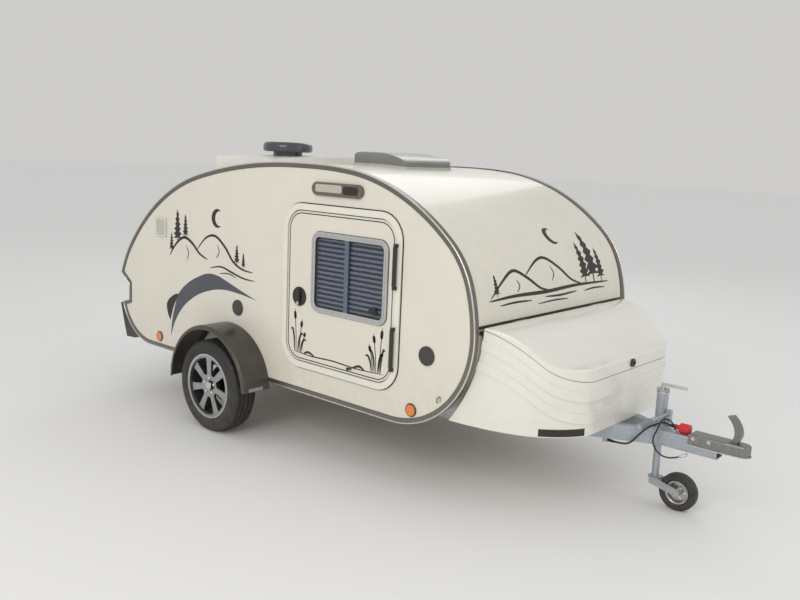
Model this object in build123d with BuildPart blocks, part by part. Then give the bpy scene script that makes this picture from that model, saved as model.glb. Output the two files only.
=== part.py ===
"""Teardrop trailer, in millimetres: +X forward to the coupling, +Y left, +Z up, ground at Z = 0."""
from build123d import *
from math import asin, atan2, cos, degrees, radians, sin, tan
import os

os.makedirs("parts", exist_ok=True)

# Wheels, axle and chassis
WHEEL_R = 292            # rolling radius, so the height of the wheel centres
AXLE_X = -850
TYRE_W = 176
RIM_R = 204              # outside of the rim's flange
BEAD_R = 191             # seat of the tyre
SPOKES = 7
AXLE_TUBE_X = -700
AXLE_TUBE_RISE = 42      # axle tube above the wheel centres
AXLE_TUBE_R = 38         # half the width across its flats
SPINDLE_R = 15
ARM_T = 27
ARM_R = 33               # swing arm at its pivot
ARM_TIP_R = 28           # swing arm at the wheel
AXLE_TUBE_Z = WHEEL_R + AXLE_TUBE_RISE
RAIL_BOTTOM = AXLE_TUBE_Z + AXLE_TUBE_R
RAIL_H = 80
RAIL_TOP = RAIL_BOTTOM + RAIL_H
RAIL_W = 40
RAIL_Y = 500             # centre line of the side rails
RAIL_BEND_X = 700        # where the rails turn in to the drawbar
RAIL_REAR_X = -1830
BEAM_REAR_X = 1699
BEAM_FRONT_X = 2006
BEAM_W = 80
BEAM_WALL = 4
CROSS_X = [-1700, -620, 500]
CROSS_W = 40
CROSS_RECESS = 10        # cross members stay this far inside the rails' height
CLIP_X, CLIP_Y = 1463, -135      # clip that holds the cable under the drawbar arm
FLOOR_T = 30


def up(height):
    """Height above the chassis's underside, from which the body is measured."""
    return RAIL_BOTTOM + height


# Clearances
FIT = 0.3                # gap between curved faces that seat on each other
RUNNING = 0.08           # gap round a shaft that turns or slides
PANEL_GAP = 5            # gap round a moving panel
WHEEL_GAP = 14           # side wall to the tyre's inner sidewall
ARCH_GAP = 88            # tread to the inside of the fender
SWING_GAP = 10           # face of the fender past the tyre

# Body shell
WALL_FACE = 780          # half width over the side walls
WALL_T = 30              # side wall thickness
SKIN_T = 30              # roof, nose, hatch and rear panel thickness
TRIM_T = 6               # how far the edge profile stands over the roof skin
TRIM_FACE_T = 4          # how far it stands out of the side wall
TRIM_W = 26              # width of its leg on the side wall
TRIM_LEG = 34            # width of its leg on the roof
ROOF_TOP = up(1332)      # highest line of the side outline
ROOF_BACK_X = -281       # where the flat of the roof ends at the back
ROOF_FRONT_X = -165      # and at the front
NOSE_ARCS = [(3147, 5.6), (1268, 36.6), (498, 29.9), (898, 15.1), (524, 92.8)]   # radius, turn
REAR_ARCS = [(3771, 14.3), (1482, 38.2), (783, 17.8)]                            # radius, turn
REAR_CORNER_X = -1760    # where the lower rear corner leaves the bottom edge
REAR_CORNER_R = 378
REAR_CORNER_TURN = 71.4
NOTCH = [(-2036, up(280)), (-2036, up(398)), (-2300, up(574)), (-2300, up(196))]   # recess for the rear lamps
SIDE_GAP = 10            # hatch to the side walls
HATCH_X = -1300          # hatch hinge line along the roof
HATCH_KNUCKLE_R = 9
HATCH_KNUCKLES = 7
HATCH_GAP = 3            # half the gap between roof and hatch
REAR_PANEL_TOP = up(464)

# Inside
BULK_X = -1265           # front face of the bulkhead
BULK_T = 15
COUNTER_TOP = up(500)
COUNTER_T = 26
COUNTER_REAR_X = -2060
SINK_X, SINK_Y = -1700, -380
SINK_R = 150
SINK_DEPTH = 120
SINK_WALL = 3
MATTRESS_FRONT_X = 735
MATTRESS_T = 110
MATTRESS_GAP = 12        # mattress to the side walls

# Fender
FENDER_T = 6
FENDER_LIP = 26
FENDER_EDGE_R = 16       # rounding of its outer edge
FENDER_FRONT_RISE = 35   # front end above the wheel centre
FENDER_REAR_DROP = 5     # rear end below it

# Doors, given for the right side; x is along the wall
DOOR_X = (-311, 525)
DOOR_Z = (up(190), up(1065))
DOOR_R = 110
DOOR_T = 34
DOOR_PROUD = 6
DOOR_EDGE = 12           # width of the leaf's edge profile, ended by a groove
GROOVE_W, GROOVE_DEPTH = 3, 2    # grooves in the faces of the leaf and the window frame
FRAME_BAND = 42
FRAME_PROUD = 12
EDGE_R = 3               # rounding of the frames' outer edges
HINGE_AHEAD = 10         # hinge axis ahead of the door's edge
HINGE_R = 11
HINGE_RISE = 4           # gap between the hinge and the frame's face
HINGE_Z = [(up(292), up(492)), (up(728), up(932))]
HINGE_LUG = 18
HINGE_GAP = 0.5          # between the knuckles, along the axis
WINDOW_X = (-105, 478)
WINDOW_Z = (up(500), up(959))
WINDOW_R = 60
WINDOW_SEAT = 8          # how far the frame laps the leaf round the hole
WINDOW_BAND = 30
WINDOW_PROUD = 11
WINDOW_REBATE = 12       # groove in the face of the frame
WINDOW_BAR_X = 175
WINDOW_BAR_W = 30
WINDOW_BAR_SET = 1       # bar behind the frame's face
GLASS_T = 5
BLIND_PLEATS = 16
BLIND_DEPTH = 9
BLIND_T = 1.2
BLIND_BEHIND = 4         # blind behind the glass
BLIND_SPLIT = 4          # gap between its two halves
LOCK_X, LOCK_Z = -206, up(568)
LOCK_R = 56

# Roof fittings
SKY_X = (-370, 80)
SKY_HALF = 235
SKY_HOLE = 45            # roof opening inside the frame's outline
SKY_RIM_T = 10           # frame past the edge of the roof opening
SKY_FRAME_H = 14         # frame over the roof, which it follows
SKY_LAP = 6              # edge of the dome inside the frame's edge
SKY_H = 78               # top of the dome over the roof's highest line
SKY_SHELL = 4
SKY_CORNER_R = 40
SKY_REAR_R = 50          # rounding of the dome's rear end
SKY_SIDE_R = 42          # rounding of its long edges
SKY_FLAT = 120           # flat of its top behind the front slope
SKY_SLOPE_ARCS = [(900, 14), (110, 34)]    # front slope of the dome: radius, turn
SKY_NOSE_DROP = 4        # step at the front end of the slope
SKY_DEEP = 70            # how far under the roof line its forms are drawn before they are trimmed
POD_X = (-1120, -585)
POD_EDGE = 80            # pod to the face of the side wall
POD_SIDE_H = 13          # pod over the roof's highest line at its sides
POD_CROWN_H = 34         # and in the middle
VENT_X, VENT_Y = -855, -330
VENT_R = 160
VENT_FOOT_R = 95
VENT_FOOT_H = 20
VENT_H = 62
VENT_TOP_R, VENT_UNDER_R = 30, 14    # rounding of its cap's edges

# Small fittings on the walls: x, z, radius
AWNING_LIGHT = (82, up(1198))
AWNING_LIGHT_L, AWNING_LIGHT_W = 392, 75
CAPS = [(759, up(397), 51), (-783, up(411), 50)]
REFLECTORS = [(670, up(89), 34), (-1651, up(74), 33)]
GRILLE_X = (-1679, -1560)
GRILLE_Z = (up(780), up(905))
LAMP_Z = (up(292), up(386))
LAMP_OUT, LAMP_IN = 80, 360      # lamp's ends from the face of the side wall
LAMP_T, LAMP_R = 42, 10
BUMPER_LINE = [(-2157, up(241)), (-2119, up(112)), (-2081, up(0)), (-1973, up(6))]

# Front box
BOX_REAR_X = 880
BOX_TAIL = 80            # straight of its sides behind that, cut by the curved back
BOX_HALF = 741
BOX_PLAN_ARCS = [(1100, 18), (460, 44), (200, 28)]    # radius, turn, from the side to the flat front
BOX_WALL = 7
BOX_BACK_X = 860
BOX_BACK = [(890, RAIL_TOP), (1042, up(398)), (1067, up(593))]
SEAM_START = (1041, up(578))
SEAM_TURN_IN = 8
SEAM_ARCS = [(560, -35), (330, 43)]
LID_START = (1085, up(586))
LID_ARCS = [(330, -47), (190, 43)]
LID_GAP = 4
LID_EDGE_R = 9           # rounding of the lid's edge
LID_AXIS = (1055, up(582))
LID_KNUCKLE_R = 5
LID_KNUCKLE_HALF = 47.6
LID_LUG_HALF = 12
LID_LUG_Y = 60           # lugs each side of a lid knuckle
LID_LUG_REACH = 20       # back to the skin of the nose
LID_HINGE_Y = 400
RIB_OFFSETS = [(48, 97), (157, 207)]
RIB_PROUD = 6
LATCH_Z = up(386)
LATCH_R = 22
LATCH_PROUD = 12

# Hitch
COUPLING_REAR_X = 1855
COUPLING_NOSE_X = 2157
COUPLING_NOSE_R = 44
COUPLING_EDGE_R = 12
COUPLING_WALL = 10       # to the edge of its flange
COUPLING_FLANGE = 4      # how far the flange stands out round its lower edge
COUPLING_FLANGE_T = 6
COUPLING_BOTTOM = up(40)
COUPLING_TOP = up(100)
BALL_X = 2110
BALL_R = 25.3
BALL_Z = up(60)
JOCKEY_X, JOCKEY_Y = 1646, 105
JOCKEY_TUBE_R = 30
JOCKEY_LEG_R = 19
JOCKEY_TUBE_Z = (up(-22), up(250))
JOCKEY_WHEEL_R = 100
JOCKEY_WHEEL_W = 50
JOCKEY_OFFSET = 135


def save(part, name):
    """Label a finished piece and write it out."""
    part.label = name
    export_step(part, f"parts/{name}.step")


def lamp_notch(grow=0.0):
    """Recess across the tail for the rear lamps, made larger by grow on every side."""
    with BuildSketch(Plane.XZ) as notch:
        with BuildLine():
            Polyline(*NOTCH, close=True)
        make_face()
        if grow:
            offset(amount=grow, kind=Kind.INTERSECTION)
    return notch.sketch


def body_face(inset=0.0):
    """Side outline of the body as a face in the XZ plane, pulled in by inset."""
    with BuildSketch(Plane.XZ) as section:
        with BuildLine():
            roof = Line((ROOF_BACK_X, ROOF_TOP - inset), (ROOF_FRONT_X, ROOF_TOP - inset))
            last = roof
            for radius, turn in NOSE_ARCS:
                last = JernArc(last @ 1, last % 1, radius - inset, -turn)
            bottom = Line(last @ 1, (REAR_CORNER_X, (last @ 1).Y))
            corner = JernArc(bottom @ 1, (-1, 0), REAR_CORNER_R - inset, -REAR_CORNER_TURN)
            back, heading = roof @ 0, (-1, 0)
            for radius, turn in REAR_ARCS:
                rear = JernArc(back, heading, radius - inset, turn)
                back, heading = rear @ 1, rear % 1
            Line(corner @ 1, back)
        make_face()
        add(lamp_notch(inset), mode=Mode.SUBTRACT)
    return section.sketch


def roof_at(x):
    """Height and down slope, in degrees, of the outline above x."""
    arcs, run = (REAR_ARCS, ROOF_BACK_X - x) if x < ROOF_BACK_X else (NOSE_ARCS, x - ROOF_FRONT_X)
    if run <= 0:
        return ROOF_TOP, 0.0
    start, height, heading = 0.0, ROOF_TOP, 0.0
    for radius, turn in arcs:
        centre = start - radius * sin(radians(heading))
        base = height - radius * cos(radians(heading))
        start = centre + radius * sin(radians(heading + turn))
        height = base + radius * cos(radians(heading + turn))
        if run <= start:
            slope = degrees(asin((run - centre) / radius))
            return base + radius * cos(radians(slope)), slope
        heading += turn
    raise ValueError("x lies past the outline")


def polygon(points):
    """Closed face in the XZ plane through a few named corners."""
    with BuildSketch(Plane.XZ) as face:
        with BuildLine():
            Polyline(*points, close=True)
        make_face()
    return face.sketch


def rounded(x_range, z_range, radius, grow=0.0):
    """Rounded rectangle in the XZ plane between two x and two z, made larger by grow."""
    with BuildSketch(Plane.XZ) as face:
        with Locations((sum(x_range) / 2, sum(z_range) / 2)):
            width, height = x_range[1] - x_range[0], z_range[1] - z_range[0]
            RectangleRounded(width + 2 * grow, height + 2 * grow, radius + grow)
    return face.sketch


def band(x_range, z_range, radius, outer, inner):
    """Ring between a rounded rectangle grown by outer and the same one grown by inner."""
    with BuildSketch(Plane.XZ) as ring:
        add(rounded(x_range, z_range, radius, outer))
        add(rounded(x_range, z_range, radius, inner), mode=Mode.SUBTRACT)
    return ring.sketch


def prism(face, y_from, y_to, mode=Mode.ADD):
    """Extrude a face drawn in the XZ plane from one Y to the other, inside a part block."""
    with BuildSketch(Plane.XZ.offset(-y_to)) as section:
        add(face)
    extrude(section.sketch, amount=y_to - y_from, mode=mode)


def both_sides(part):
    """A right-hand piece and its mirror image as two solids of one node."""
    with BuildPart() as pair:
        add(part)
        mirror(part, about=Plane.XZ)
    return pair.part


def other_side(part):
    """The left-hand piece that matches a right-hand one."""
    with BuildPart() as left:
        mirror(part, about=Plane.XZ)
    return left.part


# Ways to stand a body on a point or hang it from one
ABOVE = (Align.CENTER, Align.CENTER, Align.MIN)
BELOW = (Align.CENTER, Align.CENTER, Align.MAX)

# Lines that several pieces share
SKIN_OUT = TRIM_T
SKIN_IN = TRIM_T + SKIN_T
WALL_IN = WALL_FACE - WALL_T
HATCH_HALF = WALL_IN - SIDE_GAP
FLOOR_TOP = RAIL_TOP + FLOOR_T
TYRE_FACE = WALL_FACE + WHEEL_GAP + TYRE_W
FENDER_R = WHEEL_R + ARCH_GAP + FENDER_T
FENDER_FACE = TYRE_FACE + SWING_GAP
FAR = 3000
hatch_z, hatch_slope = roof_at(HATCH_X)
hatch_out = Vector(-sin(radians(hatch_slope)), 0, cos(radians(hatch_slope)))
hatch_back = Vector(-cos(radians(hatch_slope)), 0, -sin(radians(hatch_slope)))
hatch_seat = Vector(HATCH_X, 0, hatch_z) - hatch_out * SKIN_OUT
hatch_axis = hatch_seat + hatch_out * (HATCH_KNUCKLE_R + 1)


def hatch_corner(back, out):
    """Point beside the hatch joint, given along and square to the roof."""
    spot = hatch_seat + hatch_back * back + hatch_out * out
    return (spot.X, spot.Z)


def shell_face(region, out=SKIN_OUT, inner=SKIN_IN):
    """Part of the body shell's section that lies in a region of the XZ plane."""
    with BuildSketch(Plane.XZ) as section:
        add(body_face(out))
        add(body_face(inner), mode=Mode.SUBTRACT)
        add(region, mode=Mode.INTERSECT)
    return section.sketch


# Body panels
with BuildPart() as side_wall_right:
    prism(body_face(SKIN_OUT), -WALL_FACE, -WALL_IN)
    prism(rounded(DOOR_X, DOOR_Z, DOOR_R, PANEL_GAP), -WALL_FACE, -WALL_IN, Mode.SUBTRACT)
save(side_wall_right.part, "side_wall_right")
save(other_side(side_wall_right.part), "side_wall_left")

with BuildPart() as wall_trim:
    prism(body_face(), -WALL_FACE - TRIM_FACE_T, -WALL_FACE)
    prism(body_face(TRIM_W), -WALL_FACE - TRIM_FACE_T, -WALL_FACE, Mode.SUBTRACT)
    with BuildSketch(Plane.XZ) as leg:
        add(body_face())
        add(body_face(SKIN_OUT), mode=Mode.SUBTRACT)
    prism(leg.sketch, -WALL_FACE, -WALL_FACE + TRIM_LEG)
save(both_sides(wall_trim.part), "wall_trims")

roof_region = polygon([hatch_corner(-HATCH_GAP, 100), (FAR, FAR), (FAR, RAIL_TOP), (0, RAIL_TOP),
                       hatch_corner(-HATCH_GAP, -200)])
hatch_region = polygon([hatch_corner(HATCH_GAP, 100), hatch_corner(HATCH_GAP, -200),
                        (-1700, REAR_PANEL_TOP + SIDE_GAP), (-FAR, REAR_PANEL_TOP + SIDE_GAP), (-FAR, FAR)])
tail_region = polygon([(-FAR, 0), (-FAR, REAR_PANEL_TOP), (-1700, REAR_PANEL_TOP), (RAIL_REAR_X - 6, up(228)),
                       (RAIL_REAR_X - 6, 0)])


def knuckle_face(forward):
    """Section of one hatch hinge knuckle with its flange lying on the roof or on the hatch."""
    along = -1 if forward else 1
    with BuildSketch(Plane.XZ) as section:
        with Locations((hatch_axis.X, hatch_axis.Z)):
            Circle(HATCH_KNUCKLE_R)
        with BuildLine():
            Polyline(hatch_corner(along * 4, -1), hatch_corner(along * 34, -1), hatch_corner(along * 34, 4),
                     hatch_corner(along * 8, 6), hatch_corner(0, 14), hatch_corner(along * 4, 6), close=True)
        make_face()
    return section.sketch


knuckle_pitch = 2 * HATCH_HALF / HATCH_KNUCKLES
knuckle_starts = [-HATCH_HALF + i * knuckle_pitch for i in range(HATCH_KNUCKLES)]

with BuildPart() as roof_skin:
    prism(shell_face(roof_region), -WALL_IN, WALL_IN)
    for start in knuckle_starts[0::2]:
        prism(knuckle_face(True), start, start + knuckle_pitch)
    with BuildSketch(Plane.XY.offset(ROOF_TOP - 100)):
        with Locations((sum(SKY_X) / 2, 0)):
            Rectangle(SKY_X[1] - SKY_X[0] - 2 * SKY_HOLE, 2 * (SKY_HALF - SKY_HOLE))
    extrude(amount=200, mode=Mode.SUBTRACT)
    for side in (-1, 1):
        for offset_y in (-LID_LUG_Y, LID_LUG_Y):
            with BuildSketch(Plane.XZ.offset(side * LID_HINGE_Y - offset_y)):
                with Locations(LID_AXIS):
                    Circle(LID_KNUCKLE_R)
                with Locations(LID_AXIS):
                    Rectangle(LID_LUG_REACH, 2 * LID_KNUCKLE_R, align=(Align.MAX, Align.CENTER))
            extrude(amount=LID_LUG_HALF, both=True)
save(roof_skin.part, "roof_skin")

with BuildPart() as rear_hatch:
    prism(shell_face(hatch_region), -HATCH_HALF, HATCH_HALF)
    for start in knuckle_starts[1::2]:
        prism(knuckle_face(False), start + HINGE_GAP, start + knuckle_pitch - HINGE_GAP)
save(rear_hatch.part, "rear_hatch")

with BuildPart() as rear_panel:
    prism(shell_face(tail_region), -WALL_IN, WALL_IN)
save(rear_panel.part, "rear_panel")

with BuildPart() as floor_panel:
    prism(body_face(SKIN_IN + FIT), -WALL_IN, WALL_IN)
    with BuildSketch(Plane.XY.offset(RAIL_TOP)):
        Rectangle(2 * FAR, 2 * FAR)
    extrude(amount=FLOOR_T, mode=Mode.INTERSECT)
save(floor_panel.part, "floor_panel")

with BuildPart() as bulkhead:
    prism(body_face(SKIN_IN + FIT), -WALL_IN, WALL_IN)
    with BuildSketch(Plane.YZ.offset(BULK_X - BULK_T)):
        with Locations((0, FLOOR_TOP)):
            Rectangle(2 * WALL_IN, 1500, align=(Align.CENTER, Align.MIN))
    extrude(amount=BULK_T, mode=Mode.INTERSECT)
save(bulkhead.part, "bulkhead")

with BuildPart() as galley_counter:
    prism(body_face(SKIN_IN + 2), -WALL_IN, WALL_IN)
    with BuildSketch(Plane.XY.offset(COUNTER_TOP - COUNTER_T)):
        with Locations(((COUNTER_REAR_X + BULK_X - BULK_T) / 2, 0)):
            Rectangle(BULK_X - BULK_T - COUNTER_REAR_X, 2 * WALL_IN)
    extrude(amount=COUNTER_T, mode=Mode.INTERSECT)
    with Locations((SINK_X, SINK_Y, COUNTER_TOP)):
        Cylinder(SINK_R, SINK_DEPTH, align=BELOW)
        Cylinder(SINK_R - SINK_WALL, SINK_DEPTH - SINK_WALL, align=BELOW, mode=Mode.SUBTRACT)
save(galley_counter.part, "galley_counter")

MATTRESS_X = (BULK_X + PANEL_GAP, MATTRESS_FRONT_X)
MATTRESS_HALF = WALL_IN - MATTRESS_GAP
with BuildPart() as mattress:
    with BuildSketch(Plane.XY.offset(FLOOR_TOP + FIT)):
        with Locations((sum(MATTRESS_X) / 2, 0)):
            RectangleRounded(MATTRESS_X[1] - MATTRESS_X[0], 2 * MATTRESS_HALF, 60)
    extrude(amount=MATTRESS_T)
    fillet(mattress.edges().group_by(Axis.Z)[-1], 25)
save(mattress.part, "mattress")

with BuildPart() as rear_bumper:
    with BuildSketch(Plane.XZ.offset(-WALL_FACE)) as bumper_section:
        with BuildLine():
            Polyline(*BUMPER_LINE, (-1850, up(38)), (-1850, up(328)), (-2090, up(246)), close=True)
        make_face()
        add(body_face(-FIT), mode=Mode.SUBTRACT)
    extrude(amount=2 * WALL_FACE)
save(rear_bumper.part, "rear_bumper")

# Running gear
WHEEL_Y = -(TYRE_FACE - TYRE_W / 2)
ARM_FACE = WALL_FACE - 16
ARM_INNER = ARM_FACE - ARM_T
WHEEL_AXIS = Axis((AXLE_X, 0, WHEEL_R), (0, 1, 0))


def spin(points, mode=Mode.ADD):
    """Turn a profile of (y, radius) points about the wheel's axis."""
    with BuildSketch(Plane.YZ.offset(AXLE_X)) as profile:
        with BuildLine():
            Polyline(*[(y, WHEEL_R + radius) for y, radius in points], close=True)
        make_face()
    revolve(profile.sketch, axis=WHEEL_AXIS, mode=mode)


BEAD_HALF = TYRE_W / 2 - 12
WALL_BULGE_R = (WHEEL_R + BEAD_R) / 2    # where the sidewall stands out most
FLANGE_T = 5
with BuildPart() as tyre_right:
    with BuildSketch(Plane((AXLE_X, WHEEL_Y, WHEEL_R), x_dir=(0, 1, 0), z_dir=(1, 0, 0))):
        with BuildLine():
            half = TYRE_W / 2
            bead = Polyline((0, BEAD_R + FIT), (BEAD_HALF, BEAD_R + FIT), (BEAD_HALF, RIM_R + 1))
            side = ThreePointArc(bead @ 1, (half, WALL_BULGE_R), (half - 12, WHEEL_R - 12))
            shoulder = ThreePointArc(side @ 1, (half - 17, WHEEL_R - 5), (half - 26, WHEEL_R - 2))
            crown = Spline(shoulder @ 1, (0, WHEEL_R), tangents=[(-1, 0.06), (-1, 0)])
            Line(crown @ 1, bead @ 0)
        make_face()
        mirror(about=Plane.YZ)
    revolve(axis=WHEEL_AXIS)
save(tyre_right.part, "tyre_right")
save(other_side(tyre_right.part), "tyre_left")

DISC_FACE = -(TYRE_FACE - 22)
DISC_T = 16
HUB_FACE = -(TYRE_FACE - 54)
HUB_BACK = -(WALL_FACE + 12)
CAP_FACE = -(TYRE_FACE - 16)
SPINDLE_END = TYRE_FACE - 70
HUB_BORE_R = SPINDLE_R + RUNNING
CAP_R = 30
DRUM_R, DRUM_W = 112, 58
with BuildSketch() as spoke_window:
    with BuildLine():
        window_end = ThreePointArc((BEAD_R - 20, -50), (BEAD_R - 12, 0), (BEAD_R - 20, 50))
        Polyline(window_end @ 1, (BEAD_R - 41, 46), (78, 17), (72, 8), (72, -8), (78, -17),
                 (BEAD_R - 41, -46), window_end @ 0)
    make_face()
with BuildPart() as rim_right:
    outer, inner = WHEEL_Y - BEAD_HALF - FIT, WHEEL_Y + BEAD_HALF + FIT
    spin([(outer, BEAD_R - 7), (outer - FLANGE_T, BEAD_R - 7), (outer - FLANGE_T, RIM_R), (outer, RIM_R),
          (outer, BEAD_R), (inner, BEAD_R), (inner, RIM_R), (inner + FLANGE_T, RIM_R),
          (inner + FLANGE_T, BEAD_R - 7)])
    spin([(HUB_FACE, CAP_R + FIT), (DISC_FACE + 4, CAP_R + FIT), (DISC_FACE, 60), (DISC_FACE - 4, BEAD_R - 6),
          (DISC_FACE - 4 + DISC_T, BEAD_R - 6), (DISC_FACE + DISC_T, 75), (HUB_FACE, 68)])
    with BuildSketch(Plane.XZ.offset(-DISC_FACE - 40)):
        with Locations((AXLE_X, WHEEL_R)):
            with PolarLocations(0, SPOKES, start_angle=90 + 180 / SPOKES):
                add(spoke_window.sketch)
    extrude(amount=80, mode=Mode.SUBTRACT)
save(rim_right.part, "rim_right")
save(other_side(rim_right.part), "rim_left")

with BuildPart() as hub_right:
    spin([(HUB_BACK, HUB_BORE_R), (HUB_BACK, DRUM_R - 4), (HUB_BACK - 4, DRUM_R),
          (HUB_BACK - DRUM_W + 4, DRUM_R), (HUB_BACK - DRUM_W, DRUM_R - 4), (HUB_BACK - DRUM_W, 42),
          (HUB_FACE + 10, 42), (HUB_FACE + 10, 66), (HUB_FACE, 66), (HUB_FACE, CAP_R), (CAP_FACE + 6, CAP_R),
          (CAP_FACE, CAP_R - 8), (CAP_FACE, 0), (-SPINDLE_END - 5, 0), (-SPINDLE_END - 5, HUB_BORE_R)])
save(hub_right.part, "hub_right")
save(other_side(hub_right.part), "hub_left")

with BuildPart() as swing_arms:
    for side in (-1, 1):
        inner_y = side * ARM_INNER
        outer_y = side * ARM_FACE
        with BuildSketch(Plane.XZ.offset(-max(inner_y, outer_y))):
            with BuildLine():
                pivot_arc = CenterArc((AXLE_TUBE_X, AXLE_TUBE_Z), ARM_R, -75, 180)
                wheel_arc = CenterArc((AXLE_X, WHEEL_R), ARM_TIP_R, 105, 180)
                Line(pivot_arc @ 1, wheel_arc @ 0)
                Line(wheel_arc @ 1, pivot_arc @ 0)
            make_face()
        extrude(amount=ARM_T)
        with BuildSketch(Plane.XZ.offset(-max(outer_y, side * SPINDLE_END))):
            with Locations((AXLE_X, WHEEL_R)):
                Circle(SPINDLE_R)
        extrude(amount=SPINDLE_END - ARM_FACE)
save(swing_arms.part, "swing_arms")

with BuildPart() as axle_beam:
    with BuildSketch(Plane.XZ.offset(-ARM_INNER)):
        with Locations((AXLE_TUBE_X, AXLE_TUBE_Z)):
            RegularPolygon(AXLE_TUBE_R, 6, major_radius=False)
    extrude(amount=2 * ARM_INNER)
save(axle_beam.part, "axle_beam")

# Chassis
rail_angle = atan2(RAIL_Y, BEAM_REAR_X - RAIL_BEND_X)
tip_half = RAIL_W / 2 / cos(rail_angle)
mitre = RAIL_W / 2 * tan(rail_angle / 2)
with BuildPart() as chassis_rail:
    with BuildSketch(Plane.XY.offset(RAIL_BOTTOM)):
        with BuildLine():
            outer_y, inner_y = -RAIL_Y - RAIL_W / 2, -RAIL_Y + RAIL_W / 2
            Polyline((RAIL_REAR_X, outer_y), (RAIL_BEND_X + mitre, outer_y), (BEAM_REAR_X, -2 * tip_half),
                     (BEAM_REAR_X, 0), (RAIL_BEND_X - mitre, inner_y), (RAIL_REAR_X, inner_y), close=True)
        make_face()
    extrude(amount=RAIL_H)
save(both_sides(chassis_rail.part), "chassis_rails")

with BuildPart() as cross_members:
    with BuildSketch(Plane.XY.offset(RAIL_BOTTOM + CROSS_RECESS)):
        for x in CROSS_X:
            with Locations((x, 0)):
                Rectangle(CROSS_W, 2 * RAIL_Y - RAIL_W)
    extrude(amount=RAIL_H - 2 * CROSS_RECESS)
    with Locations((CLIP_X, CLIP_Y, RAIL_BOTTOM)):
        Box(26, 24, 22, align=BELOW)
save(cross_members.part, "cross_members")

with BuildPart() as drawbar_beam:
    with BuildSketch(Plane.YZ.offset(BEAM_REAR_X)):
        with Locations((0, (RAIL_TOP + RAIL_BOTTOM) / 2)):
            RectangleRounded(BEAM_W, RAIL_H, 8)
            RectangleRounded(BEAM_W - 2 * BEAM_WALL, RAIL_H - 2 * BEAM_WALL, 4, mode=Mode.SUBTRACT)
    extrude(amount=BEAM_FRONT_X - BEAM_REAR_X)
    with Locations((1782, -22, RAIL_TOP)):
        Box(16, 14, 14, align=ABOVE)
save(drawbar_beam.part, "drawbar_beam")

# Front box
def box_plan(grow=0.0):
    """Plan of the front box as a face on the ground plane, made larger by grow."""
    with BuildSketch() as plan:
        with BuildLine():
            edge = Line((BOX_REAR_X - BOX_TAIL, -BOX_HALF - grow), (BOX_REAR_X, -BOX_HALF - grow))
            last = edge
            for radius, turn in BOX_PLAN_ARCS:
                last = JernArc(last @ 1, last % 1, radius + grow, turn)
            Polyline(last @ 1, ((last @ 1).X, 0), (BOX_REAR_X - BOX_TAIL, 0), edge @ 0)
        make_face()
        mirror(about=Plane.XZ)
    return plan.sketch


def under(start, heading, arcs, drop=0.0):
    """Region of the XZ plane ahead of the nose and below an S-shaped line."""
    with BuildSketch(Plane.XZ) as region:
        with BuildLine():
            first = (start[0], start[1] - drop)
            tail = Line((BOX_BACK_X, first[1] + (start[0] - BOX_BACK_X) * tan(radians(heading))), first)
            last = tail
            for radius, turn in arcs:
                last = JernArc(last @ 1, last % 1, radius, turn)
            front = Line(last @ 1, last @ 1 + last % 1 * BOX_BACK_X)
            Polyline(front @ 1, ((front @ 1).X, RAIL_TOP), (BOX_BACK_X, RAIL_TOP), tail @ 0)
        make_face()
    return region.sketch


def ahead(gap):
    """Region of the XZ plane ahead of the box's curved back, moved forward by gap."""
    with BuildSketch(Plane.XZ) as region:
        with BuildLine():
            low, mid, high = [(x + gap, z) for x, z in BOX_BACK]
            back = ThreePointArc(low, mid, high)
            Polyline(high, (high[0], FAR), (FAR, FAR), (FAR, 0), (low[0], 0), low)
        make_face()
    return region.sketch


def box_body(grow, bottom, back_gap):
    """Prism of the box's plan ahead of its back."""
    with BuildPart() as block:
        with BuildSketch(Plane.XY.offset(bottom)):
            add(box_plan(grow))
        extrude(amount=FAR - bottom)
        prism(ahead(back_gap), -FAR, FAR, Mode.INTERSECT)
    return block.part


def seam_body(drop):
    """Everything below the lid's seam, lowered by drop."""
    with BuildPart() as block:
        prism(under(SEAM_START, SEAM_TURN_IN, SEAM_ARCS, drop), -FAR, FAR)
    return block.part


def lid_body(drop):
    """Everything below the lid's top, lowered by drop."""
    with BuildPart() as block:
        prism(under(LID_START, 0, LID_ARCS, drop), -FAR, FAR)
    return block.part


def box_rib(top_drop, bottom_drop):
    """Raised band round the box between two distances below the seam."""
    with BuildPart() as rib:
        add(box_body(RIB_PROUD, RAIL_TOP, 0))
        add(seam_body(top_drop), mode=Mode.INTERSECT)
        add(seam_body(bottom_drop), mode=Mode.SUBTRACT)
    return rib.part


def lid_block(wall):
    """The lid's outer body, or its hollow when pulled in by the wall."""
    with BuildPart() as block:
        add(box_body(-wall, RAIL_TOP, wall))
        add(lid_body(wall), mode=Mode.INTERSECT)
    return block.part


with BuildPart() as front_box:
    add(box_body(0, RAIL_TOP, 0))
    for top_drop, bottom_drop in RIB_OFFSETS:
        add(box_rib(top_drop, bottom_drop))
    add(seam_body(0), mode=Mode.INTERSECT)
    add(box_body(-BOX_WALL, RAIL_TOP + BOX_WALL, BOX_WALL), mode=Mode.SUBTRACT)
save(front_box.part, "front_box")

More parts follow.
